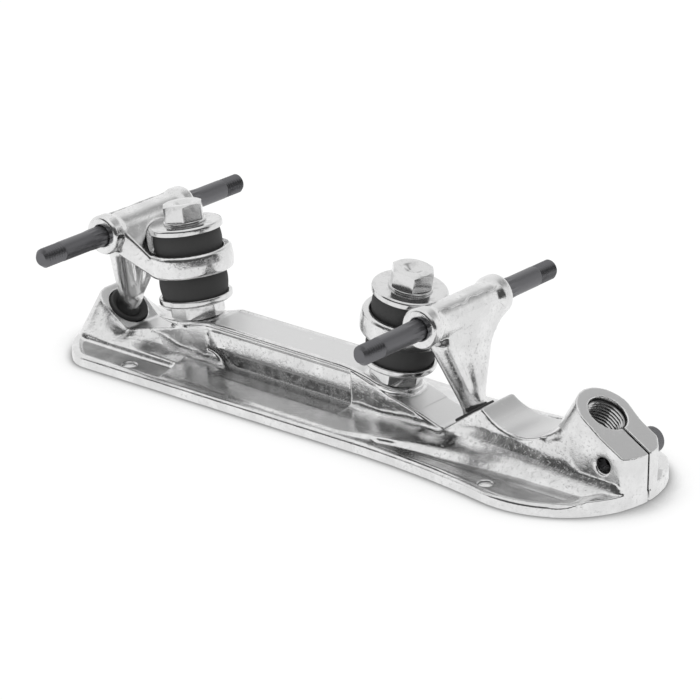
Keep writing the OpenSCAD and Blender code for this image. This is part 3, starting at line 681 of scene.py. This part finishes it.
class SKATE_OT_stage(bpy.types.Operator):
    """Floor, soft lights, pale surroundings and the camera"""

    bl_idname = "skate.stage"
    bl_label = "Studio"

    def execute(self, context):
        self.camera(context.scene)
        self.floor()
        self.surroundings(context.scene)
        self.lamp("top_light", (-0.25, 0.15, 1.1), (0.0, 0.0, 0.0), 1.1, 5.0)
        self.lamp("back_light", (-0.6, 1.0, 0.75), (0.0, 0.0, 0.02), 0.8, 2.5)
        context.scene.view_settings.view_transform = "Standard"
        return {"FINISHED"}

    def camera(self, scene):
        """Long lens, level, at the photograph's viewing angle."""
        lens = bpy.data.cameras.new("camera")
        lens.sensor_width = 36.0
        lens.lens = 180.0
        lens.clip_end = 20.0
        camera = bpy.data.objects.new("camera", lens)
        camera.location = (0.81596, -0.96527, 0.52459)
        camera.rotation_euler = (math.radians(68.103), 0.0, VIEW_TURN)
        scene.collection.objects.link(camera)
        scene.camera = camera

    def floor(self):
        """Sheet just under the sole, white to the camera and in reflections, with a painted contact shadow at the
        sole's edge.
        """
        half = 3.0
        level = -0.05 * MM
        square = ((-half, -half), (half, -half), (half, half), (-half, half))
        sheet = put_mesh("floor", np.array([(*corner, level) for corner in square]), [[0, 1, 2, 3]])
        material, tree, _ = new_material("studio_floor")
        colour = (*finishes().floor_colour, 1.0)
        matt = tree.make("ShaderNodeBsdfDiffuse", None, {"Color": colour})
        # Painted contact shadow: to the camera, the glow darkens with ambient occlusion near the sole. In
        # reflections it stays white.
        clear = tree.make("ShaderNodeAmbientOcclusion", {"samples": 8}, {"Distance": 16 * MM}, out="AO")
        seen, mirrored, through = self.rays(tree)
        tone = (clear + mirrored).above(0.45, 0.98).mixed(grey(0.25), grey(1.0))
        glow = tree.make("ShaderNodeEmission", None, {"Color": tone, "Strength": 1.04})
        share = (seen + mirrored + through) * 0.85
        mix = tree.make("ShaderNodeMixShader", None, {0: share, 1: matt, 2: glow})
        tree.close("ShaderNodeOutputMaterial", mix)
        sheet.data.materials.append(material)

    def rays(self, tree):
        """Whether a ray comes from the camera, from a glossy surface or through a clear one."""
        kinds = ("Is Camera Ray", "Is Glossy Ray", "Is Transmission Ray")
        return [tree.make("ShaderNodeLightPath", out=kind) for kind in kinds]

    def surroundings(self, scene):
        """White to the camera. Metal sees a white studio with a dark room in front and a dim back corner."""
        world = bpy.data.worlds.new("studio")
        world.use_nodes = True
        world.node_tree.nodes.clear()
        tree = Wire(world.node_tree)
        way = tree.make("ShaderNodeTexCoord", out="Generated")
        parts = [tree.make("ShaderNodeSeparateXYZ", None, {"Vector": way}, out=axis) for axis in "XYZ"]
        east, north, up = parts
        side, ahead = math.cos(VIEW_TURN), math.sin(VIEW_TURN)
        front = east * ahead - north * side
        right = east * side + north * ahead
        room = front.above(-0.02, 0.20) * (1.0 - up.above(0.62, 0.85))
        corner = right.above(0.15, 0.65) * up.above(0.38, 0.66) * (1.0 - front.above(-0.2, 0.1))
        studio = (room * 0.95 + corner * 0.60).mixed(grey(0.97), grey(0.03))
        metal = tree.make("ShaderNodeBackground", None, {"Color": studio})
        plain = tree.make("ShaderNodeBackground", None, {"Color": grey(0.66)})
        white = tree.make("ShaderNodeBackground", None, {"Color": grey(1.0)})
        seen, mirrored, through = self.rays(tree)
        lit = tree.make("ShaderNodeMixShader", None, {0: mirrored, 1: plain, 2: metal})
        glow = tree.make("ShaderNodeMixShader", None, {0: seen + through, 1: lit, 2: white})
        tree.close("ShaderNodeOutputWorld", glow)
        scene.world = world

    def lamp(self, name, place, target, width, power):
        """Square soft light that faces a target."""
        light = bpy.data.lights.new(name, "AREA")
        light.size = width
        light.energy = power
        lamp = bpy.data.objects.new(name, light)
        lamp.location = place
        lamp.rotation_euler = (Vector(target) - Vector(place)).to_track_quat("-Z", "Y").to_euler()
        lamp.visible_glossy = False
        bpy.context.scene.collection.objects.link(lamp)


class SKATE_OT_baseplate(bpy.types.Operator):
    """Cast plate with rounded walls and crisp machined faces"""

    bl_idname = "skate.baseplate"
    bl_label = "Baseplate"

    def execute(self, context):
        piece = cast_skin("baseplate_casting", "baseplate", self.crisp, self.soft, self.formed)
        points = mesh_points(piece)
        normals = mesh_normals(piece)
        keep_attribute(piece, "machined", self.machined(points, normals))
        # The tray attribute marks the upward tray floors for painted shade. The shade is 30 percent weaker towards
        # the front.
        flat = smooth_step(normals[:, 2], 0.7, 0.95)
        tray_shade_share = 1 - 0.3 * smooth_step(points[:, 0], 60 * MM, 90 * MM)
        keep_attribute(piece, "tray", flat * tray_shade_share * between(points[:, 2], 3.2 * MM, 3.78 * MM, 0.12 * MM))
        dress(piece, tumbled_casting(), "cast_alloy", "plate", "baseplate")
        self.bead()
        return {"FINISHED"}

    def bead(self):
        """Round bead along the deck's right edge, from one kingpin to the other, that fades at both ends."""
        points, _ = merged_mesh("baseplate")
        reach = abs(kingpin_axis("front")[0][0]) + 14 * MM
        along, out, up = points.T
        rim = points[(np.abs(along) < reach + 4 * MM) & (out > 8 * MM) & (up > 14.5 * MM)]
        step = 0.1 * MM
        places = np.round(rim[:, 0] / step).astype(int)
        stations = np.unique(places)
        tops, edges = [], []
        for station in stations:
            row = rim[places == station]
            tops.append(row[:, 2].max())
            edges.append(row[row[:, 2] > tops[-1] - 0.05 * MM, 1].max())
        width = sizes().bead_width
        x = np.linspace(-reach, reach, 90)
        y, z = [self.evened(np.interp(x, stations * step, values)) for values in (edges, tops)]
        fade = np.sqrt(smooth_step(reach - np.abs(x), -0.2 * MM, 16 * MM)) + 0.02
        path = np.stack((x, -y + 0.12 * width, z - 0.06 * width), axis=1)
        piece = swept("deck_bead", path, 0.5 * width * fade, 0.42 * width * fade)
        keep_attribute(piece, "machined", 0.0)
        keep_attribute(piece, "recess", 0.0)
        dress(piece, tumbled_casting(), "cast_alloy", "plate")

    def evened(self, values, reach=5):
        """Values averaged with their neighbours up to a reach."""
        taps = np.ones(2 * reach + 1) / (2 * reach + 1)
        return np.convolve(np.pad(values, reach, mode="edge"), taps, mode="valid")

    def crisp(self, x, y, z):
        """Sharp on the sole and round the toe-stop hole's mouth, rounded elsewhere."""
        mount = MOUNTS["toe_stop_hole"]
        mouth, out = mount["pos_m"], mount["axis"]
        along = (x - mouth[0]) * out[0] + (z - mouth[2]) * out[2] + 0 * y
        across = (x - mouth[0]) * out[2] - (z - mouth[2]) * out[0]
        radius = np.sqrt(across**2 + y**2)
        bore = 1 - smooth_step(radius, 9 * MM, 10.5 * MM)
        face = smooth_step(along, -1.2 * MM, -0.4 * MM)
        sole = 1 - smooth_step(z + 0 * x + 0 * y, 1.0 * MM, 2.2 * MM)
        slit = (1 - smooth_step(np.abs(y), 1.4 * MM, 2.4 * MM)) * smooth_step(across, 6 * MM, 8 * MM)
        return np.clip(np.maximum.reduce([bore + 0 * z, face, sole, slit]), 0, 1)

    def soft(self, x, y, z):
        """Fills under the kingpins, and flows over the front foot's crest and the toe's neck."""
        side = np.abs(y)
        block = between(np.abs(x), 42 * MM, 66 * MM, 5 * MM) * between(side, 9 * MM, 17 * MM, 2 * MM)
        block = block * between(z, 5 * MM, 16 * MM, 2 * MM)
        crest = between(x, 74 * MM, 166 * MM, 8 * MM) * between(side, 14 * MM, 24.5 * MM, 2.5 * MM)
        crest = crest * between(z, 3 * MM, 8.5 * MM, 1.6 * MM)
        mouth = MOUNTS["toe_stop_hole"]["pos_m"][0]
        neck = between(x, mouth - 18 * MM, mouth - 8 * MM, 4 * MM) * between(z, 12 * MM, 20 * MM, 4 * MM)
        neck = neck * smooth_step(side, 3 * MM, 6 * MM)
        return np.maximum(block, crest), np.maximum(crest, neck)

    def formed(self, distance, x, y, z):
        """Forms that the solid only hints at: walls, pockets, toe, deck edge and the clamp's left lug."""
        side = np.abs(y)
        distance = self.flush_walls(distance, x, side, z)
        distance = self.pockets(distance, x, side, z)
        distance = self.toe_rise(distance, x, side, z)
        ridge = block_distance(x, -y, z, (-36.5 * MM, 8.9 * MM, 21.25 * MM), (36.5 * MM, 13 * MM, 26 * MM))
        return self.left_lug(cut_from(distance, ridge, 0.3 * MM), x, y, z)

    def flush_walls(self, distance, x, side, z):
        """Wall under each kingpin, below the ramp, that draws in towards the plate's end."""
        start, end, foot = 36.6 * MM, 67 * MM, 7.6 * MM
        ramp_top, ramp_start, ramp_slope = 21.0 * MM, 36 * MM, 0.2957
        far = np.abs(x)
        wall = side - WALL_FACE + 0.95 * MM * smooth_step(far, 50 * MM, end)
        ramp = z - ramp_top + ramp_slope * (far - ramp_start)
        return joined(distance, overlap(foot - z, start - far, far - end, ramp, wall), 0.8 * MM)

    def pockets(self, distance, x, side, z):
        """Pocket in each wall, cut down to the tray, with a leaning band along its back."""
        rear, front, deep = -35.5 * MM, 36.0 * MM, 8.8 * MM
        band_low, band_high, band_lean = 12.6 * MM, 19.8 * MM, 0.13
        floor = 6.3 * MM + 5.5 * MM * (1 - smooth_step(x, -35 * MM, -22 * MM))
        up = z - floor
        tray = block_distance(x, side, up, (-35 * MM, deep, 0.0), (front, 18 * MM, 4 * MM))
        back = block_distance(x, side, up, (rear, deep, 0.0), (front, 12.0 * MM, 19.4 * MM - floor))
        distance = cut_from(cut_from(distance, back, 0.8 * MM), tray, 1.6 * MM)
        step = 1.4 * MM * (1 - smooth_step(x, -36 * MM, -27 * MM))
        reach = np.minimum(9.6 * MM + band_lean * (19.5 * MM - z) + step, WALL_FACE)
        ends = np.maximum(rear - x, x - front - 0.5 * MM)
        return joined(distance, overlap(band_low - z, z - band_high, ends, side - reach), 0.5 * MM)

    def toe_rise(self, distance, x, side, z):
        """Rise of the rim to the toe's wall, inside the plate's own outline just above the sole."""
        outline = int(np.argmin(np.abs(z.ravel() - 1.2 * MM)))
        plan = distance[:, :, outline : outline + 1]
        rise = 3.6 * MM + 2.6 * MM * smooth_step(x, 150 * MM, 159 * MM)
        toe = overlap(148 * MM - x, 12.8 * MM - side, 0.4 * MM - z, z - rise, plan)
        return joined(distance, toe, 0.6 * MM)

    def left_lug(self, distance, x, y, z):
        """Left lug set in to the cap screw's seat, and the toe's left corner cut across."""
        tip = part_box("baseplate")[1][0]
        neck, seat, full = tip - 24 * MM, tip - 10 * MM, 13.8 * MM
        face = LUG_FACE + (full - LUG_FACE) * (1 - smooth_step(x, neck, seat))
        lug = block_distance(x, y - face, z, (neck, 0.0, 6.2 * MM), (tip + 1 * MM, 8 * MM, 40 * MM))
        slant = 0.836
        corner = np.maximum((tip + 4.6 * MM - x - slant * y) / math.hypot(1, slant), 5.2 * MM - z)
        return cut_from(cut_from(distance, lug, 0.8 * MM), corner, 0.8 * MM)

    def machined(self, points, normals):
        """1 on the deck, its ramps, the pivot faces, the pads and the toe face, 0 on cast walls."""
        toe = np.array(MOUNTS["toe_stop_hole"]["axis"])
        ramp = math.radians(16.5)
        ways = [(0, 0, 1), toe]
        for end, facing in ENDS.items():
            ways += [pivot_axis(end), (facing * math.sin(ramp), 0, math.cos(ramp)), kingpin_axis(end)[1]]
        alike = np.max(normals @ np.array(ways, float).T, axis=1)
        raised = smooth_step(points[:, 2], 7.4 * MM, 8.4 * MM)
        return smooth_step(alike, 0.985, 0.997) * raised


class SKATE_OT_hangers(bpy.types.Operator):
    """Cast hangers with rounded ribs, collars and rings"""

    bl_idname = "skate.hangers"
    bl_label = "Hangers"

    def execute(self, context):
        for end, facing in ENDS.items():
            self.hanger(end, facing)
        return {"FINISHED"}

    def hanger(self, end, facing):
        """Skin with a thumb-shaped strut at each edge of the leg and a mould seam along the tube."""
        size = sizes()
        middle = np.array(MOUNTS[f"{end}_left_axle_stub"]["pos_m"]) * (1, 0, 1)
        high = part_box(f"{end}_hanger")[1]
        nose = (np.array(JOINTS[f"{end}_steer"]["pos_m"]) - middle * (1, 0, 0)) * (facing, 1, 1)

        def crisp(x, y, z):
            return smooth_step(np.abs(y), high[1] - 0.6 * MM, high[1]) + 0 * x + 0 * z

        def soft(x, y, z):
            fill = between(z, 22 * MM, 58 * MM, 2 * MM) * between(np.abs(y), 0, 21 * MM, 1 * MM) + 0 * x
            return fill, 0 * fill

        def formed(distance, x, y, z):
            out, side = facing * (x - middle[0]), np.abs(y)
            top, foot = np.array(size.strut_top), np.array(size.strut_foot)
            place = np.stack(np.broadcast_arrays(out, side, z), axis=-1)
            strut = tapered_bar(place, top, foot, *size.strut_radii)
            share = np.clip((top[2] - z) / (top[2] - foot[2]), 0, 1)
            line = top + share[..., None] * (foot - top)
            thick = size.strut_radii[0] + share * (size.strut_radii[1] - size.strut_radii[0])
            face = line[..., 0] + (0.70 + 0.32 * smooth_step(facing * y, -5 * MM, 5 * MM)) * thick
            flare = 9 * MM * np.clip((z - 34 * MM) / (13 * MM), 0, 1) ** 2 * (y > 0)
            half = 1.5 * MM
            sheet = np.abs(out - face + half) - half
            web = overlap(z - 50 * MM, foot[2] - z, sheet, side - line[..., 1] - flare)
            ankle = tapered_bar(place, np.array(size.ankle_top), nose, *size.ankle_radii)
            return joined(joined(joined(distance, web, 1.5 * MM), strut, 1.0 * MM), ankle, 2.5 * MM)

        piece = cast_skin(f"{end}_hanger_casting", f"{end}_hanger", crisp, soft, formed)
        keep_attribute(piece, "machined", 0.0)
        dress(piece, tumbled_casting(), "cast_alloy", f"{end}_truck", f"{end}_hanger")
        self.seam(end, facing, middle, high[1] - 6.5 * MM)

    def seam(self, end, facing, middle, half):
        """Thin ridge along the tube whose place round it wanders as two sine waves."""
        y = np.linspace(-half, half, 90)
        lean = np.radians(sizes().seam_deg + 5 * np.sin(y / (3.1 * MM)) + 3 * np.sin(y / (1.3 * MM)))
        radius = sizes().tube_radius
        x = middle[0] + facing * radius * np.cos(lean)
        path = np.stack((x, y, middle[2] + radius * np.sin(lean)), axis=1)
        piece = swept(f"{end}_tube_seam", path, 0.55 * MM, 0.40 * MM, 8)
        keep_attribute(piece, "machined", 0.0)
        # The recess of 0.1 gives the seam some of the hollows' coarse grain and some of their darker tone, which
        # is partly painted shade.
        keep_attribute(piece, "recess", 0.1)
        dress(piece, tumbled_casting(), "cast_alloy", f"{end}_truck")


def tapered_bar(place, start, end, start_radius, end_radius):
    """Distance from places to a bar with round ends whose radius changes steadily from start to end."""
    along = end - start
    share = np.clip((place - start) @ along / (along @ along), 0, 1)
    nearest = start + share[..., None] * along
    return np.linalg.norm(place - nearest, axis=-1) - (start_radius + share * (end_radius - start_radius))


class SKATE_OT_axles(bpy.types.Operator):
    """Steel axles with rolled threads, splined middles and chamfered ends"""

    bl_idname = "skate.axles"
    bl_label = "Axles"

    def execute(self, context):
        for end in ENDS:
            self.axle(end)
        return {"FINISHED"}

    def axle(self, end):
        """Bar along Y: radius by height and turn, with a helical thread and fading splines."""
        mount = MOUNTS[f"{end}_left_axle_stub"]
        bar = mount["dims"]["r_mm"] * MM
        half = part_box(f"{end}_axle")[1][1]
        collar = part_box(f"{end}_hanger")[1][1]
        thread = half - 10.8 * MM
        chamfer = 1.1 * MM
        cut_depth = 0.55 * MM
        spline_count, spline_height = 15, 0.2 * MM
        pitch = sizes().axle_pitch
        turn = turns(60)
        cut = np.linspace(thread, half - chamfer, 130)
        rows = np.concatenate((
            np.linspace(0, collar - 0.5 * MM, 4), np.linspace(collar, collar + 11 * MM, 24),
            [thread - 0.8 * MM, thread - 0.5 * MM], cut, [half - 0.2 * MM, half]))
        rows = np.concatenate((-rows[:0:-1], rows))[:, None]
        far = np.abs(rows)
        tooth = np.abs(np.mod(rows / pitch - turn / (2 * np.pi), 1.0) * 2 - 1)
        threaded = smooth_step(far, thread - 0.2 * MM, thread + 0.2 * MM)
        crest = bar - 0.03 * MM - threaded * (0.06 * MM + cut_depth * tooth)
        spline = spline_height * np.maximum(0, np.cos(spline_count * turn)) ** 6
        fade = 1 - smooth_step(far, collar + 5 * MM, collar + 10 * MM)
        fade = fade * smooth_step(far, collar - 1 * MM, collar)
        radius = crest + 0.03 * MM + spline * fade
        end_limit = bar - 0.28 * MM - np.maximum(0, far - (half - chamfer))
        radius = np.where(far > half - chamfer, np.minimum(radius, end_limit), radius)
        caps = np.zeros((1, turn.shape[1]))
        radius = np.concatenate((caps, radius, caps))
        height = np.concatenate((rows[:1], rows, rows[-1:]))
        base = (mount["pos_m"][0], 0.0, mount["pos_m"][2])
        piece = spun_along_y(f"{end}_axle_bar", radius, height, turn, base)
        places = mesh_points(piece) - np.array(base, np.float32)
        far = np.abs(places[:, 1])
        sunk = (bar - np.hypot(places[:, 0], places[:, 2])) / cut_depth
        on_thread = 1 - smooth_step(far, half - chamfer, half - 0.5 * MM)
        on_thread = on_thread * smooth_step(far, thread - 0.3 * MM, thread)
        # root marks the thread roots, which the material darkens with painted shade.
        keep_attribute(piece, "root", np.clip(sunk * 1.3 - 0.2, 0, 1) * on_thread)
        # The splines, the end's rim and the thread crests are made lighter: partly wear, partly painted highlight.
        rim = (far > half - 0.5 * MM) & (far < half - 0.1 * MM)
        crest = np.clip(1 - 2 * sunk, 0, 1) * on_thread
        keep_attribute(piece, "proud", np.clip(-sunk * 2.5, 0, 1) + rim + 0.7 * crest)
        dress(piece, dark_steel(), "dark_steel", f"{end}_truck", f"{end}_axle")


def spun_along_y(name, radius, height, turn, base, sharp_deg=35):
    """Surface of revolution about a line along Y, made about Z and then turned on its side."""
    piece = spun(name, radius, height, turn, (0, 0, 0), (0, 0, 1), sharp_deg=sharp_deg)
    points = mesh_points(piece)
    turned = points[:, (1, 2, 0)] + np.array(base, np.float32)
    piece.data.vertices.foreach_set("co", turned.ravel())
    piece.data.update()
    return piece


class SKATE_OT_kingpins(bpy.types.Operator):
    """Hex-headed kingpins, lock nuts and head washers"""

    bl_idname = "skate.kingpins"
    bl_label = "Kingpins"

    def execute(self, context):
        for end, facing in ENDS.items():
            self.kingpin(end, facing)
            self.lock_nut(end, facing)
            self.washer(end, facing)
        return {"FINISHED"}

    def chamfered(self, flats, turn, top):
        """Side's upper rows of a hexagon whose corners are turned off by a shallow cone."""
        edge = hexagon(flats, turn)
        rim = 0.475 * flats
        slope = math.tan(math.radians(28))
        spreads = [(edge - rim) * share for share in (1, 0.66, 0.33, 0)]
        return [(rim + spread, top - spread * slope) for spread in spreads]

    def kingpin(self, end, facing):
        """Shank and hexagon head with a forged dimple: rows from the tip up to the dimple's middle."""
        base, axis = kingpin_axis(end)
        size = round_size(f"{end}_kingpin", axis)
        shank, head, flats = 4.76 * MM, 6.2 * MM, 15.2 * MM
        dimple, dimple_depth = 0.25 * flats, 1.9 * MM
        tip = float((size["low"] - base) @ axis)
        top = float((size["high"] - base) @ axis)
        under = top - head
        top += 0.7 * MM
        turn = turns(96)
        rows = [(0, tip), (shank - 0.7 * MM, tip), (shank, tip + 1.4 * MM), (shank, under)]
        rows += [(hexagon(flats, turn) - 0.25 * MM, under), (hexagon(flats, turn), under + 0.25 * MM)]
        rows += self.chamfered(flats, turn, top)
        for share in (1.25, 1.1, 1.0, 0.85, 0.65, 0.4, 0.15):
            sunk = dimple_depth * (1 - smooth_step(share, 0.25, 1.18))
            rows.append((dimple * share, top - sunk))
        rows.append((0, top - dimple_depth))
        self.hex_piece(f"{end}_kingpin_bolt", rows, turn, sizes().head_turn_deg, base, axis, facing,
                       f"{end}_adjuster", f"{end}_kingpin")

    def lock_nut(self, end, facing):
        """Hexagon ring with both faces chamfered: a closed profile."""
        base, axis = kingpin_axis(end)
        size = round_size(f"{end}_lock_nut", axis)
        flats = 19.0 * MM
        top = size["length"]
        turn = turns(96)
        upper = self.chamfered(flats, turn, top)
        lower = [(radius, top - height) for radius, height in upper][::-1]
        bore = size["inner"]
        ease = 0.4 * MM
        rows = [(bore + ease, 0), *lower, *upper, (bore + ease, top), (bore, top - ease), (bore, ease)]
        self.hex_piece(f"{end}_jam_nut", rows, turn, sizes().nut_turn_deg, base, axis, facing,
                       f"{end}_locknut", f"{end}_lock_nut", closed=True)

    def washer(self, end, facing):
        """Flat ring with rounded edges."""
        size = round_size(f"{end}_head_washer", kingpin_axis(end)[1])
        thick = size["length"]
        curve = 0.3 * MM
        rows = np.concatenate((
            [(size["inner"], 0)], arc((size["outer"] - curve, curve), curve, -90, 0, 5),
            arc((size["outer"] - curve, thick - curve), curve, 0, 90, 5), [(size["inner"], thick)]))
        piece = ringed(f"{end}_washer", rows, 72, size, facing)
        dress(piece, bright_zinc(), "zinc_steel", "plate", f"{end}_head_washer")

    def hex_piece(self, name, rows, turn, turn_deg, base, axis, facing, body, node, closed=False):
        """Spun piece from rows whose radius or height may change round the axis."""
        radius, height = stacked(rows, turn)
        angle = turn + math.radians(turn_deg)
        piece = spun(name, radius, height, angle, base, axis, facing, closed, sharp_deg=24)
        dress(piece, bright_zinc(), "zinc_steel", body, node)


class SKATE_OT_retainers(bpy.types.Operator):
    """Pressed cup washers at the ends of the cushion stacks"""

    bl_idname = "skate.retainers"
    bl_label = "Cushion retainers"

    def execute(self, context):
        for end, facing in ENDS.items():
            for level in ("lower", "upper"):
                self.retainer(end, facing, level)
        return {"FINISHED"}

    def retainer(self, end, facing, level):
        """Round shoulder, then a straight rim: a closed profile from the bore round the rim and back."""
        node = f"{end}_{level}_retainer"
        size = round_size(node, kingpin_axis(end)[1])
        sheet = 1.5 * MM
        tall = size["length"]
        rim = size["outer"]
        shoulder = 1.1 * MM
        lip = 0.4 * MM
        rows = np.concatenate((
            [(size["inner"], 0)],
            arc((rim - shoulder, shoulder), shoulder, -90, 0, 10),
            arc((rim - lip, tall - lip), lip, 0, 90, 6),
            arc((rim - sheet + lip, tall - lip), lip, 90, 180, 6),
            arc((rim - sheet - lip, sheet + lip), lip, 0, -90, 6),
            [(size["inner"], sheet)]))
        if level == "upper":
            rows = np.stack((rows[:, 0], tall - rows[:, 1]), axis=1)[::-1]
        piece = ringed(f"{node}_cup", rows, 96, size, facing, sharp_deg=30)
        dress(piece, bright_zinc(), "zinc_steel", "plate", node)


class SKATE_OT_cushions(bpy.types.Operator):
    """Rubber cushions that lean with the trucks"""

    bl_idname = "skate.cushions"
    bl_label = "Cushions"

    def execute(self, context):
        for end, facing in ENDS.items():
            for level in ("lower", "upper"):
                self.cushion(end, facing, level)
        return {"FINISHED"}

    def cushion(self, end, facing, level):
        """Ring with swelling sides and rounded edges: radius = end radius + swell sin(pi share)."""
        node = f"{end}_{level}_cushion"
        size = round_size(node, kingpin_axis(end)[1])
        tall = size["length"]
        swell = 0.8 * MM
        edge = 0.7 * MM
        wall = size["outer"] - swell
        share = np.linspace(0, 1, 25)
        side = np.stack((wall + swell * np.sin(np.pi * share), edge + share * (tall - 2 * edge)), axis=1)
        rows = np.concatenate((
            [(size["inner"], 0)], arc((wall - edge, edge), edge, -90, 0, 6)[:-1], side,
            arc((wall - edge, tall - edge), edge, 0, 90, 6)[1:], [(size["inner"], tall)]))
        piece = ringed(f"{node}_rubber", rows, 72, size, facing, sharp_deg=50)
        dress(piece, black_rubber(), "black_rubber", None, node)
        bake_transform(piece)


class SKATE_OT_pivot_cups(bpy.types.Operator):
    """Rubber cups that hold the pivot noses"""

    bl_idname = "skate.pivot_cups"
    bl_label = "Pivot cups"

    def execute(self, context):
        for end, facing in ENDS.items():
            self.cup(end, facing)
        return {"FINISHED"}

    def cup(self, end, facing):
        """Coned floor, straight wall, rounded lip, flared mouth and a round socket, from the floor up."""
        node = f"{end}_pivot_cup"
        size = round_size(node, pivot_axis(end))
        wall, tall = size["outer"], size["length"]
        lip = 0.45 * MM
        socket = 4.7 * MM
        centre = tall - 2.6 * MM
        rows = np.concatenate((
            [(0, 0), (wall - 2.1 * MM, 0), (wall, 2.1 * MM)],
            arc((wall - lip, tall - lip), lip, 0, 120, 8),
            [(socket + 1.2 * MM, centre + 1.3 * MM)],
            arc((0, centre), socket, 0, -88, 10), [(0, centre - socket)]))
        piece = ringed(f"{node}_rubber", rows, 64, size, facing, closed=False, sharp_deg=50)
        dress(piece, black_rubber(), "black_rubber", "plate", node)


class SKATE_OT_toe_thread(bpy.types.Operator):
    """Thread inside the toe-stop hole, open at the clamp's slit"""

    bl_idname = "skate.toe_thread"
    bl_label = "Toe-stop thread"

    def execute(self, context):
        mount = MOUNTS["toe_stop_hole"]
        bore = mount["dims"]["r_mm"] * MM
        mouth = np.array(mount["pos_m"])
        axis = np.array(mount["axis"])
        pitch = sizes().toe_pitch
        gap = math.asin(0.75 * MM / bore)
        turn = np.linspace(gap, 2 * math.pi - gap, 90)[None, :]
        depth = np.linspace(-1.0 * MM, -26.0 * MM, 150)[:, None]
        tooth = np.abs(np.mod(depth / pitch + turn / (2 * np.pi), 1.0) * 2 - 1)
        lead = smooth_step(-depth, 1.0 * MM, 3.0 * MM)
        crest = bore - 0.04 * MM - lead * 0.95 * MM * (1 - tooth)
        across = np.array((0.0, 1.0, 0.0))
        ahead = np.cross(across, axis)
        ring = np.cos(turn)[..., None] * ahead + np.sin(turn)[..., None] * across
        inner = mouth + depth[..., None] * axis + crest[..., None] * ring
        outer = mouth + depth[..., None] * axis + (bore + 0.05 * MM) * ring
        points = np.concatenate((inner, outer[::-1]))
        rows, columns = points.shape[:2]
        index = np.arange(rows * columns).reshape(rows, columns)
        after = np.roll(index, -1, axis=0)
        quads = np.stack((index[:, :-1], after[:, :-1], after[:, 1:], index[:, 1:]), axis=-1)
        faces = quads.reshape(-1, 4)[:, ::-1].tolist()
        half = rows // 2
        strip = np.arange(half - 1)
        for column, flip in ((0, 1), (columns - 1, -1)):
            near, far = index[:half, column], index[half:, column][::-1]
            cap = np.stack((near[strip], near[strip + 1], far[strip + 1], far[strip]), axis=-1)
            faces += cap[:, ::flip].tolist()
        piece = put_mesh("toe_stop_thread", points.reshape(-1, 3), faces, 40)
        away = mesh_points(piece) - mouth
        radii = np.linalg.norm(away - np.outer(away @ axis, axis), axis=1)
        # root marks the thread roots, which the material darkens with painted shade.
        keep_attribute(piece, "root", smooth_step(radii, bore - 0.75 * MM, bore - 0.1 * MM))
        dress(piece, cut_thread(), "cast_alloy", "plate")
        return {"FINISHED"}


class SKATE_OT_clamp_screw(bpy.types.Operator):
    """Knurled cap screw through the toe clamp's lugs"""

    bl_idname = "skate.clamp_screw"
    bl_label = "Clamp screw"

    def execute(self, context):
        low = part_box("toe_clamp_bolt")[0]
        joint = JOINTS["toe_clamp_turn"]
        shank, head = 3.0 * MM, 5.0 * MM
        tip = low[1] + 5.0 * MM
        under = LUG_FACE - 0.1 * MM
        top = under + 8.4 * MM
        turn = turns(144)
        knurl = head - 0.14 * MM * np.abs(np.sin(24 * turn))
        socket = hexagon(5.0 * MM, turn, 1.0)
        rows = [(0, tip), (shank - 0.6 * MM, tip), (shank, tip + 1.2 * MM), (shank, under)]
        rows += [(head - 0.4 * MM, under), (knurl, under + 0.4 * MM), (knurl, top - 0.9 * MM)]
        rows += [(head - 0.2 * MM, top - 0.7 * MM), (head - 0.8 * MM, top), (socket + 0.3 * MM, top)]
        rows += [(socket, top - 0.3 * MM), (socket, top - 2.7 * MM), (0, top - 3.4 * MM)]
        radius, height = stacked(rows, turn)
        base = (joint["pos_m"][0], 0.0, joint["pos_m"][2])
        piece = spun_along_y("clamp_cap_screw", radius, height, turn, base, 30)
        for name in ("root", "proud"):
            keep_attribute(piece, name, 0.0)
        dress(piece, dark_steel(), "dark_steel", "toe_clamp", "toe_clamp_bolt")
        return {"FINISHED"}


class SKATE_PT_panel(bpy.types.Panel):
    """Buttons that build the skate plate"""

    bl_idname = "SKATE_PT_panel"
    bl_label = "Skate plate"
    bl_space_type = "VIEW_3D"
    bl_region_type = "UI"
    bl_category = "Skate plate"

    def draw(self, context):
        for step in STEPS:
            self.layout.operator(step.bl_idname)


STEPS = (
    SKATE_OT_stage,
    SKATE_OT_baseplate,
    SKATE_OT_hangers,
    SKATE_OT_axles,
    SKATE_OT_kingpins,
    SKATE_OT_retainers,
    SKATE_OT_cushions,
    SKATE_OT_pivot_cups,
    SKATE_OT_toe_thread,
    SKATE_OT_clamp_screw,
)
CLASSES = (SkatePlateSizes, SkatePlateFinishes, *STEPS, SKATE_PT_panel)


def register():
    """Adds the classes and the settings to the scene."""
    for cls in CLASSES:
        bpy.utils.register_class(cls)
    bpy.types.Scene.skate_plate_sizes = PointerProperty(type=SkatePlateSizes)
    bpy.types.Scene.skate_plate_finishes = PointerProperty(type=SkatePlateFinishes)


def unregister():
    """Takes the settings and the classes away again."""
    del bpy.types.Scene.skate_plate_finishes
    del bpy.types.Scene.skate_plate_sizes
    for cls in reversed(CLASSES):
        bpy.utils.unregister_class(cls)


def main():
    """Builds every piece in order."""
    register()
    bpy.ops.skate.stage()
    bpy.ops.skate.baseplate()
    bpy.ops.skate.hangers()
    bpy.ops.skate.axles()
    bpy.ops.skate.kingpins()
    bpy.ops.skate.retainers()
    bpy.ops.skate.cushions()
    bpy.ops.skate.pivot_cups()
    bpy.ops.skate.toe_thread()
    bpy.ops.skate.clamp_screw()


if __name__ == "__main__":
    main()
